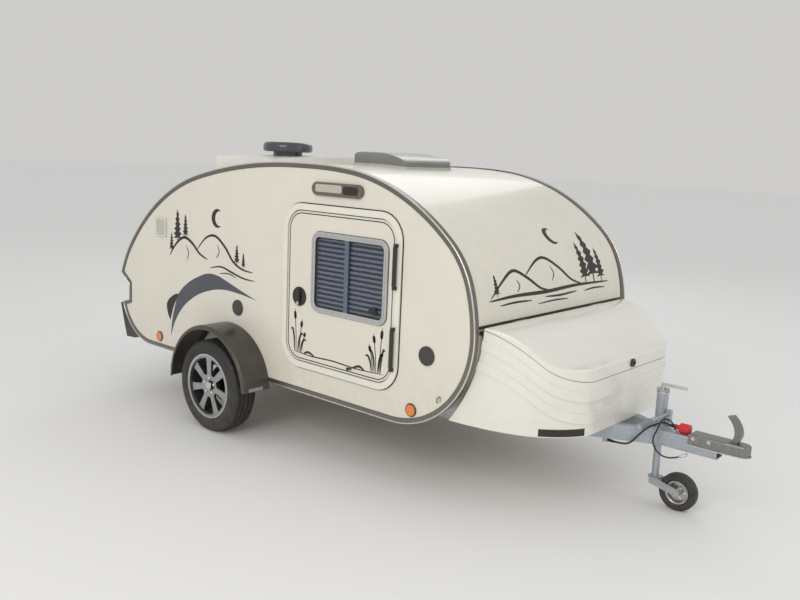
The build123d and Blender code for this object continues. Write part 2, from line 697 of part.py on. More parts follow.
with BuildPart() as box_lid:
    add(lid_block(0))
    top_edges = box_lid.faces().filter_by(lambda face: face.normal_at().Z > 0.5).edges()
    cross_edges = top_edges.filter_by(Axis.Y).sort_by(Axis.X)
    fillet(top_edges.filter_by(Axis.Y, reverse=True) + cross_edges[-1:], LID_EDGE_R)
    add(seam_body(-LID_GAP), mode=Mode.SUBTRACT)
    add(lid_block(BOX_WALL), mode=Mode.SUBTRACT)
    for side in (-1, 1):
        with BuildSketch(Plane.XZ.offset(side * LID_HINGE_Y)):
            with Locations(LID_AXIS):
                Circle(LID_KNUCKLE_R)
            with BuildLine():
                Polyline((LID_AXIS[0], LID_AXIS[1] - 1), (LID_AXIS[0] + 22, LID_START[1] - 3),
                         (LID_AXIS[0] + 22, LID_START[1] - 1), (LID_AXIS[0], LID_AXIS[1] + LID_KNUCKLE_R),
                         close=True)
            make_face()
        extrude(amount=LID_KNUCKLE_HALF, both=True)
save(box_lid.part, "box_lid")

box_front_x = box_plan().bounding_box().max.X
with BuildPart() as box_latch:
    with BuildSketch(Plane.YZ.offset(box_front_x)):
        with Locations((0, LATCH_Z)):
            Circle(LATCH_R)
    extrude(amount=LATCH_PROUD)
    fillet(box_latch.edges().group_by(Axis.X)[-1], 3)
    with BuildSketch(Plane.YZ.offset(box_front_x + LATCH_PROUD)):
        with Locations((0, LATCH_Z)):
            SlotOverall(1.3 * LATCH_R, 9)
    extrude(amount=-LATCH_PROUD / 2, mode=Mode.SUBTRACT)
save(box_latch.part, "box_latch")

# Doors
DOOR_AXIS_X = DOOR_X[1] + HINGE_AHEAD
DOOR_AXIS_Y = -(WALL_FACE + FRAME_PROUD + HINGE_RISE + HINGE_R)
with BuildPart() as door_frame:
    prism(rounded(DOOR_X, DOOR_Z, DOOR_R, FRAME_BAND), -WALL_FACE - FRAME_PROUD, -WALL_FACE)
    prism(rounded(DOOR_X, DOOR_Z, DOOR_R, PANEL_GAP), -WALL_FACE - FRAME_PROUD, -WALL_FACE, Mode.SUBTRACT)
    fillet(door_frame.edges().group_by(Axis.Y)[0], EDGE_R)
    for low, high in HINGE_Z:
        for z in (low - HINGE_LUG - HINGE_GAP, high + HINGE_GAP):
            with BuildSketch(Plane.XY.offset(z)):
                with Locations((DOOR_AXIS_X, DOOR_AXIS_Y)):
                    Circle(HINGE_R - 2)
                with Locations((DOOR_AXIS_X, DOOR_AXIS_Y)):
                    Rectangle(HINGE_R + 1, HINGE_R + HINGE_RISE, align=(Align.MIN, Align.MIN))
            extrude(amount=HINGE_LUG)
save(both_sides(door_frame.part), "door_frames")

DOOR_FACE = WALL_FACE + DOOR_PROUD
with BuildPart() as door_right:
    prism(rounded(DOOR_X, DOOR_Z, DOOR_R), -DOOR_FACE, -DOOR_FACE + DOOR_T)
    fillet(door_right.edges().group_by(Axis.Y)[0], EDGE_R)
    prism(band(DOOR_X, DOOR_Z, DOOR_R, -DOOR_EDGE, -DOOR_EDGE - GROOVE_W), -DOOR_FACE,
          GROOVE_DEPTH - DOOR_FACE, Mode.SUBTRACT)
    prism(rounded(WINDOW_X, WINDOW_Z, WINDOW_R, -WINDOW_SEAT), -DOOR_FACE, DOOR_T - DOOR_FACE, Mode.SUBTRACT)
    for low, high in HINGE_Z:
        with BuildSketch(Plane.XY.offset(low)):
            with Locations((DOOR_AXIS_X, DOOR_AXIS_Y)):
                Circle(HINGE_R)
            with BuildLine():
                Polyline((DOOR_X[1] - 18, -DOOR_FACE), (DOOR_X[1] - 18, -DOOR_FACE - 6),
                         (DOOR_AXIS_X - 2, DOOR_AXIS_Y - HINGE_R + 1), (DOOR_AXIS_X - 8, DOOR_AXIS_Y + 6),
                         (DOOR_X[1] - 8, -DOOR_FACE), close=True)
            make_face()
        extrude(amount=high - low)
save(door_right.part, "door_right")
save(other_side(door_right.part), "door_left")

window_face = -DOOR_FACE - WINDOW_PROUD
with BuildPart() as window_frame:
    prism(rounded(WINDOW_X, WINDOW_Z, WINDOW_R), window_face, -DOOR_FACE)
    prism(rounded(WINDOW_X, WINDOW_Z, WINDOW_R, -WINDOW_SEAT - FIT), -DOOR_FACE, -DOOR_FACE + DOOR_T)
    prism(rounded(WINDOW_X, WINDOW_Z, WINDOW_R, -WINDOW_BAND), window_face, DOOR_T - DOOR_FACE, Mode.SUBTRACT)
    fillet(window_frame.edges().group_by(Axis.Y)[0], EDGE_R)
    prism(band(WINDOW_X, WINDOW_Z, WINDOW_R, -WINDOW_REBATE, -WINDOW_REBATE - GROOVE_W), window_face,
          window_face + GROOVE_DEPTH, Mode.SUBTRACT)
    with BuildSketch(Plane.XZ.offset(-window_face - WINDOW_BAR_SET)):
        with Locations((WINDOW_BAR_X, sum(WINDOW_Z) / 2)):
            Rectangle(WINDOW_BAR_W, WINDOW_Z[1] - WINDOW_Z[0] - WINDOW_BAND)
    extrude(amount=-(WINDOW_PROUD - 2 * WINDOW_BAR_SET))
save(window_frame.part, "window_frame_right")
save(other_side(window_frame.part), "window_frame_left")

with BuildPart() as window_glass:
    prism(rounded(WINDOW_X, WINDOW_Z, WINDOW_R, -WINDOW_BAND - FIT), -DOOR_FACE, -DOOR_FACE + GLASS_T)
save(window_glass.part, "window_glass_right")
save(other_side(window_glass.part), "window_glass_left")

BLIND_FACE = DOOR_FACE - GLASS_T - BLIND_BEHIND
blind_low, blind_high = WINDOW_Z[0] + WINDOW_BAND + 6, WINDOW_Z[1] - WINDOW_BAND - 6
half_pitch = (blind_high - blind_low) / BLIND_PLEATS / 2
zigzag = [(-BLIND_FACE + (BLIND_DEPTH if i % 2 else 0), blind_low + half_pitch * i)
          for i in range(2 * BLIND_PLEATS + 1)]
with BuildPart() as blind_room:
    prism(rounded(WINDOW_X, WINDOW_Z, WINDOW_R, -WINDOW_BAND - FIT), -DOOR_FACE, 0)
    with Locations((WINDOW_BAR_X, 0, sum(WINDOW_Z) / 2)):
        Box(BLIND_SPLIT, 2 * FAR, 2 * FAR, mode=Mode.SUBTRACT)
with BuildPart() as window_blind:
    with BuildSketch(Plane.YZ.offset(WINDOW_X[0])):
        with BuildLine():
            Polyline(*zigzag, *[(y + BLIND_T, z) for y, z in reversed(zigzag)], close=True)
        make_face()
    extrude(amount=WINDOW_X[1] - WINDOW_X[0])
    add(blind_room.part, mode=Mode.INTERSECT)
save(window_blind.part, "window_blind_right")
save(other_side(window_blind.part), "window_blind_left")

with BuildPart() as door_lock:
    with BuildSketch(Plane.XZ.offset(DOOR_FACE)):
        with Locations((LOCK_X, LOCK_Z)):
            Circle(LOCK_R)
    extrude(amount=5)
    with BuildSketch(Plane.XZ.offset(DOOR_FACE + 5)):
        with Locations((LOCK_X, LOCK_Z)):
            SlotOverall(2 * LOCK_R - 24, 26, rotation=90)
    extrude(amount=12)
    fillet(door_lock.edges().group_by(Axis.Y)[0], 4)
save(door_lock.part, "door_lock_right")
save(other_side(door_lock.part), "door_lock_left")

# Fenders
fender_front_z = WHEEL_R + FENDER_FRONT_RISE
fender_rear_z = WHEEL_R - FENDER_REAR_DROP
with BuildPart() as fender:
    with BuildSketch(Plane.XZ) as arch:
        with BuildLine():
            Polyline((AXLE_X - FAR, fender_rear_z), (AXLE_X, fender_rear_z), (AXLE_X, fender_front_z),
                     (AXLE_X + FAR, fender_front_z), (AXLE_X + FAR, FAR), (AXLE_X - FAR, FAR), close=True)
        make_face()
        with Locations((AXLE_X, WHEEL_R)):
            Circle(FENDER_R, mode=Mode.INTERSECT)
    for hole_r, y_from, y_to in ((FENDER_R - FENDER_T, -FENDER_FACE, -WALL_FACE - FIT),
                                 (FENDER_R - FENDER_LIP, -FENDER_FACE, -FENDER_FACE + FENDER_T),
                                 (FENDER_R - FENDER_LIP, -WALL_FACE - FIT - FENDER_T, -WALL_FACE - FIT)):
        with BuildSketch(Plane.XZ) as ring:
            add(arch.sketch)
            with Locations((AXLE_X, WHEEL_R)):
                Circle(hole_r, mode=Mode.SUBTRACT)
        prism(ring.sketch, y_from, y_to)
    outer_edges = fender.edges().group_by(Axis.Y)[0].filter_by(GeomType.CIRCLE)
    fillet(outer_edges.sort_by(SortBy.RADIUS)[-1], FENDER_EDGE_R)
    with BuildSketch(Plane.XZ) as trim_path:
        add(body_face(-FIT))
        add(body_face(TRIM_W + FIT), mode=Mode.SUBTRACT)
    prism(trim_path.sketch, -WALL_FACE - TRIM_FACE_T - FIT, -WALL_FACE, Mode.SUBTRACT)
save(both_sides(fender.part), "fenders")

# Roof fittings
sky_centre = sum(SKY_X) / 2
sky_length = SKY_X[1] - SKY_X[0]
sky_lap = SKY_HOLE + SKY_RIM_T
with BuildPart() as skylight_frame:
    prism(body_face(SKIN_OUT - SKY_FRAME_H), -SKY_HALF, SKY_HALF)
    with BuildSketch(Plane.XY.offset(ROOF_TOP - SKY_DEEP)):
        with Locations((sky_centre, 0)):
            RectangleRounded(sky_length, 2 * SKY_HALF, SKY_CORNER_R)
            RectangleRounded(sky_length - 2 * sky_lap, 2 * (SKY_HALF - sky_lap), 12, mode=Mode.SUBTRACT)
    extrude(amount=2 * SKY_DEEP, mode=Mode.INTERSECT)
    prism(body_face(SKIN_OUT), -FAR, FAR, Mode.SUBTRACT)
save(skylight_frame.part, "skylight_frame")


def dome_block(inset):
    """The dome down into its frame: its side view crossed with its end view, pulled in by inset."""
    low, top = ROOF_TOP - SKY_DEEP, ROOF_TOP + SKY_H
    rear_x, side_y = SKY_X[0] + SKY_LAP, SKY_HALF - SKY_LAP
    with BuildSketch(Plane.XZ) as side_view:
        with BuildLine():
            upright = Line((rear_x, low), (rear_x, top - SKY_REAR_R))
            bend = JernArc(upright @ 1, (0, 1), SKY_REAR_R, -90)
            slope = Line(bend @ 1, bend @ 1 + (SKY_FLAT, 0))
            for radius, turn in SKY_SLOPE_ARCS:
                slope = JernArc(slope @ 1, slope % 1, radius, -turn)
            front_x = SKY_X[1] - SKY_LAP
            Polyline(slope @ 1, (front_x, (slope @ 1).Y - SKY_NOSE_DROP), (front_x, low), upright @ 0)
        make_face()
        if inset:
            offset(amount=-inset, kind=Kind.INTERSECTION)
    with BuildSketch(Plane.YZ) as end_view:
        with Locations((0, (low + top) / 2)):
            RectangleRounded(2 * (side_y - inset), top - low - 2 * inset, SKY_SIDE_R - inset)
    with BuildPart() as dome:
        prism(side_view.sketch, -FAR, FAR)
        extrude(end_view.sketch, amount=FAR, both=True, mode=Mode.INTERSECT)
        with BuildSketch(Plane.XY.offset(low)):
            with Locations((sky_centre, 0)):
                length, width = sky_length - 2 * (SKY_LAP + inset), 2 * (side_y - inset)
                RectangleRounded(length, width, SKY_CORNER_R - SKY_LAP)
        extrude(amount=FAR, mode=Mode.INTERSECT)
    return dome.part


with BuildPart() as skylight_dome:
    add(dome_block(0))
    add(dome_block(SKY_SHELL), mode=Mode.SUBTRACT)
    prism(body_face(SKIN_OUT - SKY_FRAME_H), -FAR, FAR, Mode.SUBTRACT)
save(skylight_dome.part, "skylight_dome")

pod_half = WALL_FACE - POD_EDGE
pod_top = ROOF_TOP + POD_CROWN_H
with BuildPart() as roof_pod:
    with BuildSketch(Plane.YZ.offset(POD_X[0])):
        with BuildLine():
            base = Polyline((-pod_half, ROOF_TOP + POD_SIDE_H), (-pod_half, ROOF_TOP - 200),
                            (pod_half, ROOF_TOP - 200), (pod_half, ROOF_TOP + POD_SIDE_H))
            ThreePointArc(base @ 1, (0, pod_top), base @ 0)
        make_face()
    extrude(amount=POD_X[1] - POD_X[0])
    prism(body_face(SKIN_OUT - FIT), -FAR, FAR, Mode.SUBTRACT)
save(roof_pod.part, "roof_pod")

with BuildPart() as roof_vent:
    with Locations((VENT_X, VENT_Y, pod_top - POD_CROWN_H / 2)):
        Cylinder(VENT_FOOT_R, VENT_FOOT_H + POD_CROWN_H / 2, align=ABOVE)
    add(roof_pod.part, mode=Mode.SUBTRACT)
    with BuildSketch(Plane.XY.offset(pod_top + VENT_FOOT_H)):
        with Locations((VENT_X, VENT_Y)):
            Circle(VENT_R)
    extrude(amount=VENT_H)
    fillet(roof_vent.edges().group_by(Axis.Z)[-1], VENT_TOP_R)
    fillet(roof_vent.edges().filter_by(GeomType.CIRCLE).sort_by(SortBy.RADIUS)[-1], VENT_UNDER_R)
save(roof_vent.part, "roof_vent")

# Fittings on the walls and tail
with BuildPart() as awning_light:
    with BuildSketch(Plane.XZ.offset(WALL_FACE)):
        with Locations(AWNING_LIGHT):
            SlotOverall(AWNING_LIGHT_L, AWNING_LIGHT_W)
    extrude(amount=22)
    fillet(awning_light.edges().group_by(Axis.Y)[0], 8)
save(both_sides(awning_light.part), "awning_lights")

with BuildPart() as wall_cap:
    for x, z, radius in CAPS:
        with BuildSketch(Plane.XZ.offset(WALL_FACE)):
            with Locations((x, z)):
                Circle(radius)
        extrude(amount=9)
    fillet(wall_cap.edges().group_by(Axis.Y)[0], 4)
save(both_sides(wall_cap.part), "wall_caps")

with BuildPart() as reflector:
    for x, z, radius in REFLECTORS:
        with BuildSketch(Plane.XZ.offset(WALL_FACE)):
            with Locations((x, z)):
                Circle(radius)
        extrude(amount=8)
save(both_sides(reflector.part), "side_reflectors")

with BuildPart() as wall_vent:
    prism(rounded(GRILLE_X, GRILLE_Z, 8), -WALL_FACE - 12, -WALL_FACE)
    for i in range(8):
        with Locations((sum(GRILLE_X) / 2, -WALL_FACE - 12, GRILLE_Z[0] + 17 + 13 * i)):
            Box(92, 16, 5, mode=Mode.SUBTRACT)
save(both_sides(wall_vent.part), "wall_vents")

LAMP_Y = (LAMP_OUT - WALL_FACE, LAMP_IN - WALL_FACE)
with BuildPart() as rear_lamp:
    with BuildSketch(Plane.YZ.offset(NOTCH[0][0] + SKIN_OUT)):
        with Locations((sum(LAMP_Y) / 2, sum(LAMP_Z) / 2)):
            RectangleRounded(LAMP_Y[1] - LAMP_Y[0], LAMP_Z[1] - LAMP_Z[0], 14)
    extrude(amount=-LAMP_T)
    fillet(rear_lamp.edges().group_by(Axis.X)[0], LAMP_R)
save(both_sides(rear_lamp.part), "rear_lamps")

# Hitch
def coupling_plan(inset):
    """Plan of the coupling with its rounded nose, pulled in by inset."""
    half, nose_r = BEAM_W / 2 + COUPLING_WALL - inset, COUPLING_NOSE_R - inset
    neck_x = BEAM_FRONT_X + 24
    with BuildSketch() as plan:
        with BuildLine():
            nose = CenterArc((COUPLING_NOSE_X - COUPLING_NOSE_R, 0), nose_r, -80, 160)
            rear_x = COUPLING_REAR_X + inset
            Polyline(nose @ 1, (neck_x, half), (rear_x, half), (rear_x, -half), (neck_x, -half), nose @ 0)
        make_face()
    return plan.sketch


with BuildPart() as coupling_head:
    with BuildSketch(Plane.XY.offset(COUPLING_BOTTOM)):
        add(coupling_plan(COUPLING_FLANGE))
    extrude(amount=COUPLING_TOP - COUPLING_BOTTOM)
    fillet(coupling_head.edges().group_by(Axis.Z)[-1], COUPLING_EDGE_R)
    with BuildSketch(Plane.XY.offset(COUPLING_BOTTOM)):
        add(coupling_plan(0))
    extrude(amount=COUPLING_FLANGE_T)
    with Locations((BEAM_FRONT_X - 400, 0, RAIL_TOP)):
        Box(800, BEAM_W, 200, align=BELOW, mode=Mode.SUBTRACT)
    with Locations((BALL_X, 0, BALL_Z)):
        Cylinder(BALL_R, 60, align=BELOW, mode=Mode.SUBTRACT)
        Sphere(BALL_R, mode=Mode.SUBTRACT)
save(coupling_head.part, "coupling_head")

with BuildPart() as coupling_handle:
    with BuildSketch(Plane.XZ.offset(-17)):
        with BuildLine():
            outer_edge = Spline((2088, COUPLING_TOP), (2106, up(143)), (2094, up(188)), (2056, up(232)))
            tip = Line(outer_edge @ 1, (2030, up(224)))
            inner_edge = Spline(tip @ 1, (2062, up(184)), (2072, up(143)), (2052, COUPLING_TOP))
            Line(inner_edge @ 1, outer_edge @ 0)
        make_face()
    extrude(amount=34)
save(coupling_handle.part, "coupling_handle")

# Jockey wheel
CLAMP_Z = (up(13), up(73))
CLAMP_R = JOCKEY_TUBE_R + 8
BAR_X, BAR_Z = 1690, up(136)
BAR_R = 14
BAR_ROD_R = 6
BAR_Y = (-250, -60)
with BuildPart() as jockey_clamp:
    with BuildSketch(Plane.XY.offset(CLAMP_Z[0])):
        with Locations((JOCKEY_X, JOCKEY_Y)):
            Circle(CLAMP_R)
        with Locations((JOCKEY_X, JOCKEY_Y - CLAMP_R / 2)):
            Rectangle(44, CLAMP_R)
        with Locations((JOCKEY_X + CLAMP_R, JOCKEY_Y)):
            Rectangle(44, 30)
        with Locations((JOCKEY_X, JOCKEY_Y)):
            Circle(JOCKEY_TUBE_R + FIT, mode=Mode.SUBTRACT)
    extrude(amount=CLAMP_Z[1] - CLAMP_Z[0])
    with Locations((BAR_X, JOCKEY_Y, CLAMP_Z[1] - 20)):
        Box(24, 30, BAR_Z + 14 - CLAMP_Z[1] + 20, align=ABOVE)
    with BuildSketch(Plane.XZ.offset(-JOCKEY_Y)):
        with Locations((BAR_X, BAR_Z)):
            Circle(BAR_ROD_R)
    extrude(amount=JOCKEY_Y - BAR_Y[1])
    with BuildSketch(Plane.XZ.offset(-BAR_Y[1])):
        with Locations((BAR_X, BAR_Z)):
            Circle(BAR_R)
    extrude(amount=BAR_Y[1] - BAR_Y[0])
    add(chassis_rail.part.mirror(Plane.XZ), mode=Mode.SUBTRACT)
save(jockey_clamp.part, "jockey_clamp")

with BuildPart() as jockey_tube:
    with BuildSketch(Plane.XY.offset(JOCKEY_TUBE_Z[0])):
        with Locations((JOCKEY_X, JOCKEY_Y)):
            Circle(JOCKEY_TUBE_R)
            Circle(JOCKEY_LEG_R + RUNNING, mode=Mode.SUBTRACT)
    extrude(amount=JOCKEY_TUBE_Z[1] - JOCKEY_TUBE_Z[0])
    with Locations((JOCKEY_X, JOCKEY_Y, JOCKEY_TUBE_Z[1])):
        Cylinder(JOCKEY_TUBE_R + 2, 8, align=ABOVE)
save(jockey_tube.part, "jockey_tube")

CRANK_TOP = JOCKEY_TUBE_Z[1] + 36
with BuildPart() as jockey_crank:
    with Locations((JOCKEY_X, JOCKEY_Y, JOCKEY_TUBE_Z[1] + 8)):
        Cylinder(12, CRANK_TOP - JOCKEY_TUBE_Z[1] - 8, align=ABOVE)
    with BuildSketch(Plane.XY.offset(CRANK_TOP - 12)):
        with Locations((JOCKEY_X + 58, JOCKEY_Y)):
            SlotOverall(140, 24)
    extrude(amount=12)
save(jockey_crank.part, "jockey_crank")

LEG_TOP = up(108)
LEG_BOTTOM = 150
with BuildPart() as jockey_leg:
    with Locations((JOCKEY_X, JOCKEY_Y, LEG_BOTTOM)):
        Cylinder(JOCKEY_LEG_R, LEG_TOP - LEG_BOTTOM, align=ABOVE)
save(jockey_leg.part, "jockey_leg")

FORK_X = JOCKEY_X + JOCKEY_OFFSET
FORK_T = 5
FORK_GAP = JOCKEY_WHEEL_W / 2 + 6
AXLE_PIN_R = 8
with BuildPart() as jockey_fork:
    with Locations((JOCKEY_X, JOCKEY_Y, LEG_BOTTOM - 0.5)):
        Cylinder(FORK_GAP + FORK_T, 8, align=BELOW)
    for side in (-1, 1):
        y_low = JOCKEY_Y + side * (FORK_GAP + FORK_T / 2) - FORK_T / 2
        with BuildSketch(Plane.XZ.offset(-y_low - FORK_T)):
            with BuildLine():
                end = CenterArc((FORK_X, JOCKEY_WHEEL_R), 20, -110, 200)
                Polyline(end @ 1, (JOCKEY_X + 18, LEG_BOTTOM - 1), (JOCKEY_X - 18, LEG_BOTTOM - 1),
                         (JOCKEY_X - 18, LEG_BOTTOM - 34), end @ 0)
            make_face()
        extrude(amount=FORK_T)
    with BuildSketch(Plane.XZ.offset(-JOCKEY_Y - FORK_GAP)):
        with Locations((FORK_X, JOCKEY_WHEEL_R)):
            Circle(AXLE_PIN_R)
    extrude(amount=2 * FORK_GAP)
save(jockey_fork.part, "jockey_fork")

JOCKEY_RIM_R = 62
JOCKEY_AXLE = Axis((FORK_X, JOCKEY_Y, JOCKEY_WHEEL_R), (0, 1, 0))
with BuildPart() as jockey_rim:
    with BuildSketch(Plane.YZ.offset(FORK_X)):
        with BuildLine():
            half_w = JOCKEY_WHEEL_W / 2
            Polyline(*[(JOCKEY_Y + y, JOCKEY_WHEEL_R + radius) for y, radius in (
                (-half_w, AXLE_PIN_R + RUNNING), (-half_w, 17), (-5, 20), (-5, 46), (-half_w + 2, 54),
                (-half_w, JOCKEY_RIM_R - 3), (-half_w, JOCKEY_RIM_R), (half_w, JOCKEY_RIM_R),
                (half_w, JOCKEY_RIM_R - 3), (half_w - 2, 54), (5, 46), (5, 20), (half_w, 17),
                (half_w, AXLE_PIN_R + RUNNING))], close=True)
        make_face()
    revolve(axis=JOCKEY_AXLE)
    with BuildSketch(Plane.XZ.offset(-JOCKEY_Y)):
        with Locations((FORK_X, JOCKEY_WHEEL_R)):
            with PolarLocations(33, 5):
                Circle(8)
    extrude(amount=10, both=True, mode=Mode.SUBTRACT)
save(jockey_rim.part, "jockey_rim")

with BuildPart() as jockey_tyre:
    with BuildSketch(Plane.YZ.offset(FORK_X)):
        with Locations((JOCKEY_Y, JOCKEY_WHEEL_R + (JOCKEY_WHEEL_R + JOCKEY_RIM_R + FIT) / 2)):
            RectangleRounded(JOCKEY_WHEEL_W, JOCKEY_WHEEL_R - JOCKEY_RIM_R - FIT, 10)
    revolve(axis=JOCKEY_AXLE)
save(jockey_tyre.part, "jockey_tyre")

# Cables on the drawbar
def rounded_route(points):
    """Smooth line through corner points, with each corner's radius set by its turn and its runs."""
    corners = [Vector(*point) for point in points]
    radii = []
    for before, corner, after in zip(corners, corners[1:], corners[2:]):
        run = min((corner - before).length, (after - corner).length)
        half_turn = radians((corner - before).get_angle(after - corner)) / 2
        radii.append(0.45 * run / tan(half_turn))
    with BuildLine() as route:
        FilletPolyline(*corners, radius=radii)
    return route.line, radii


def cable(points, radius, name):
    """Round cable along a rounded route."""
    line, radii = rounded_route(points)
    print(name, "bend radii", [round(value) for value in radii])
    with BuildPart() as cord:
        with BuildLine():
            add(line)
        with BuildSketch(Plane(origin=line @ 0, z_dir=line % 0)):
            Circle(radius)
        sweep()
    save(cord.part, name)


PLUG_X = (1797, 1850)
PLUG_R = 25
PLUG_Z = RAIL_TOP + PLUG_R + FIT
NECK_R = 12
LEAD_R = 5
LEAD = [(1476.3, -135, 360), (1530, -135, 358), (1588, -120, 362), (1628, -112, 418), (1666, -98, 466),
        (1708, -72, 490), (1714, -24, 492), (1738, 0, PLUG_Z), (PLUG_X[0] - 22.3, 0, PLUG_Z)]
LOOP_R = 4
LOOP = [(1782, -24, 467.7), (1770, -22, 505), (1728, -66, 528), (1722, -98, 472), (1694, -86, 415),
        (1700, -72, 362), (1738, -62, 326), (1790, -55, 324), (1828, -55, 344)]

cable(LEAD, LEAD_R, "lead")
cable(LOOP, LOOP_R, "breakaway_cable")

with BuildPart() as plug:
    with BuildSketch(Plane.YZ.offset(PLUG_X[0])):
        with Locations((0, PLUG_Z)):
            Circle(PLUG_R)
    extrude(amount=PLUG_X[1] - PLUG_X[0])
    fillet(plug.edges().group_by(Axis.X)[0], 6)
    with BuildSketch(Plane.YZ.offset(PLUG_X[0] - 22)):
        with Locations((0, PLUG_Z)):
            Circle(NECK_R)
    extrude(amount=22)
save(plug.part, "plug")

CLIP_W = 18
with BuildPart() as breakaway_clip:
    with BuildSketch(Plane.XZ.offset(55 - LOOP_R)):
        with Locations((LOOP[-1][0] + 20.7, LOOP[-1][2] + 10.9)):
            SlotOverall(46, CLIP_W, rotation=27.8)
            SlotOverall(34, CLIP_W - 8, rotation=27.8, mode=Mode.SUBTRACT)
    extrude(amount=2 * LOOP_R)
save(breakaway_clip.part, "breakaway_clip")
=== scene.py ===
"""Looks of the teardrop trailer, in metres: +X forward to the coupling, +Y left, +Z up, ground at Z = 0."""
from math import ceil, cos, hypot, pi, radians, sin

import bmesh
import bpy
from mathutils import Matrix, Vector
from mathutils.bvhtree import BVHTree
from mathutils.geometry import tessellate_polygon


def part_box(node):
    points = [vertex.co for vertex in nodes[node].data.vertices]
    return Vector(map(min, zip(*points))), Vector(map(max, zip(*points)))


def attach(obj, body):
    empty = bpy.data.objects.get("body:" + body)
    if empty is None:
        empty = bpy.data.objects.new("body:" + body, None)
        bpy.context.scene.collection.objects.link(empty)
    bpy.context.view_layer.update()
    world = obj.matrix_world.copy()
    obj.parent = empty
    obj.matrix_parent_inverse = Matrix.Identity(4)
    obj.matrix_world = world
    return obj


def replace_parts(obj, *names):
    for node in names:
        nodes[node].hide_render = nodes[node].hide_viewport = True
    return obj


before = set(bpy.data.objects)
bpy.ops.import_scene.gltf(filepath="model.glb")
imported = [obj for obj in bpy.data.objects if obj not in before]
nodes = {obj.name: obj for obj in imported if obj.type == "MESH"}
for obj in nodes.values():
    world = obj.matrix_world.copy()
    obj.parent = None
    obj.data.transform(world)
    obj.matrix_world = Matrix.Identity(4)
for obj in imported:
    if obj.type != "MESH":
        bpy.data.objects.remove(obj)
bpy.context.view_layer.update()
scene = bpy.context.scene
SIDES = (("right", -1), ("left", 1))


def sided(name, tag):
    """A name, with its side added where it ends with _ and so is one of a pair."""
    return name + tag if name.endswith("_") else name


# Places that several pieces share
AXLE_X, TYRE_R = -0.85, 0.292
SINK_X, SINK_Y = -1.7, -0.38
WALL_Y, DOOR_Y = 0.78, 0.786    # faces of the side wall and of the door leaf

# Camera, as it stood for the photograph
CAMERA_AT = Vector((3.408, -4.059, 1.791))
YAW, DOWN, ROLL = radians(40.97), radians(9.93), radians(-2.49)
LENS, SENSOR_W = 38.1, 36

forward = Vector((-sin(YAW) * cos(DOWN), cos(YAW) * cos(DOWN), -sin(DOWN)))
level = Vector((cos(YAW), sin(YAW), 0))
drop = forward.cross(level)
right = level * cos(ROLL) + drop * sin(ROLL)
down = drop * cos(ROLL) - level * sin(ROLL)
lens = bpy.data.cameras.new("camera")
lens.lens = LENS
lens.sensor_width = SENSOR_W
camera = bpy.data.objects.new("camera", lens)
scene.collection.objects.link(camera)
camera.matrix_world = Matrix.Translation(CAMERA_AT) @ Matrix((right, -down, -forward)).transposed().to_4x4()
scene.camera = camera


# Materials
class Wiring:
    """Short names for the nodes of a material or of the world."""

    def __init__(self, owner):
        owner.use_nodes = True
        self.tree = owner.node_tree

    def node(self, kind, **inputs):
        """New node with its inputs set or linked."""
        node = self.tree.nodes.new("ShaderNode" + kind)
        for key, value in inputs.items():
            self.put(node.inputs[key.replace("_", " ")], value)
        return node

    def put(self, socket, value):
        """Link an output to a socket, or set the socket's own value."""
        if isinstance(value, bpy.types.NodeSocket):
            self.tree.links.new(value, socket)
        else:
            socket.default_value = value

    def math(self, operation, first, second=0):
        """Output of one Math node."""
        node = self.tree.nodes.new("ShaderNodeMath")
        node.operation = operation
        self.put(node.inputs[0], first)
        self.put(node.inputs[1], second)
        return node.outputs["Value"]

    def spread(self, value, low, high, start=0, end=1):
        """Map a value's range start..end to low..high."""
        node = self.node("MapRange", Value=value)
        for key, number in (("From Min", start), ("From Max", end), ("To Min", low), ("To Max", high)):
            node.inputs[key].default_value = number
        return node.outputs["Result"]

    def mix(self, factor, first, second):
        """Blend of two colours."""
        node = self.tree.nodes.new("ShaderNodeMix")
        node.data_type = "RGBA"
        for place, value in ((0, factor), (6, first), (7, second)):    # factor and the two colour sockets
            self.put(node.inputs[place], value)
        return node.outputs[2]


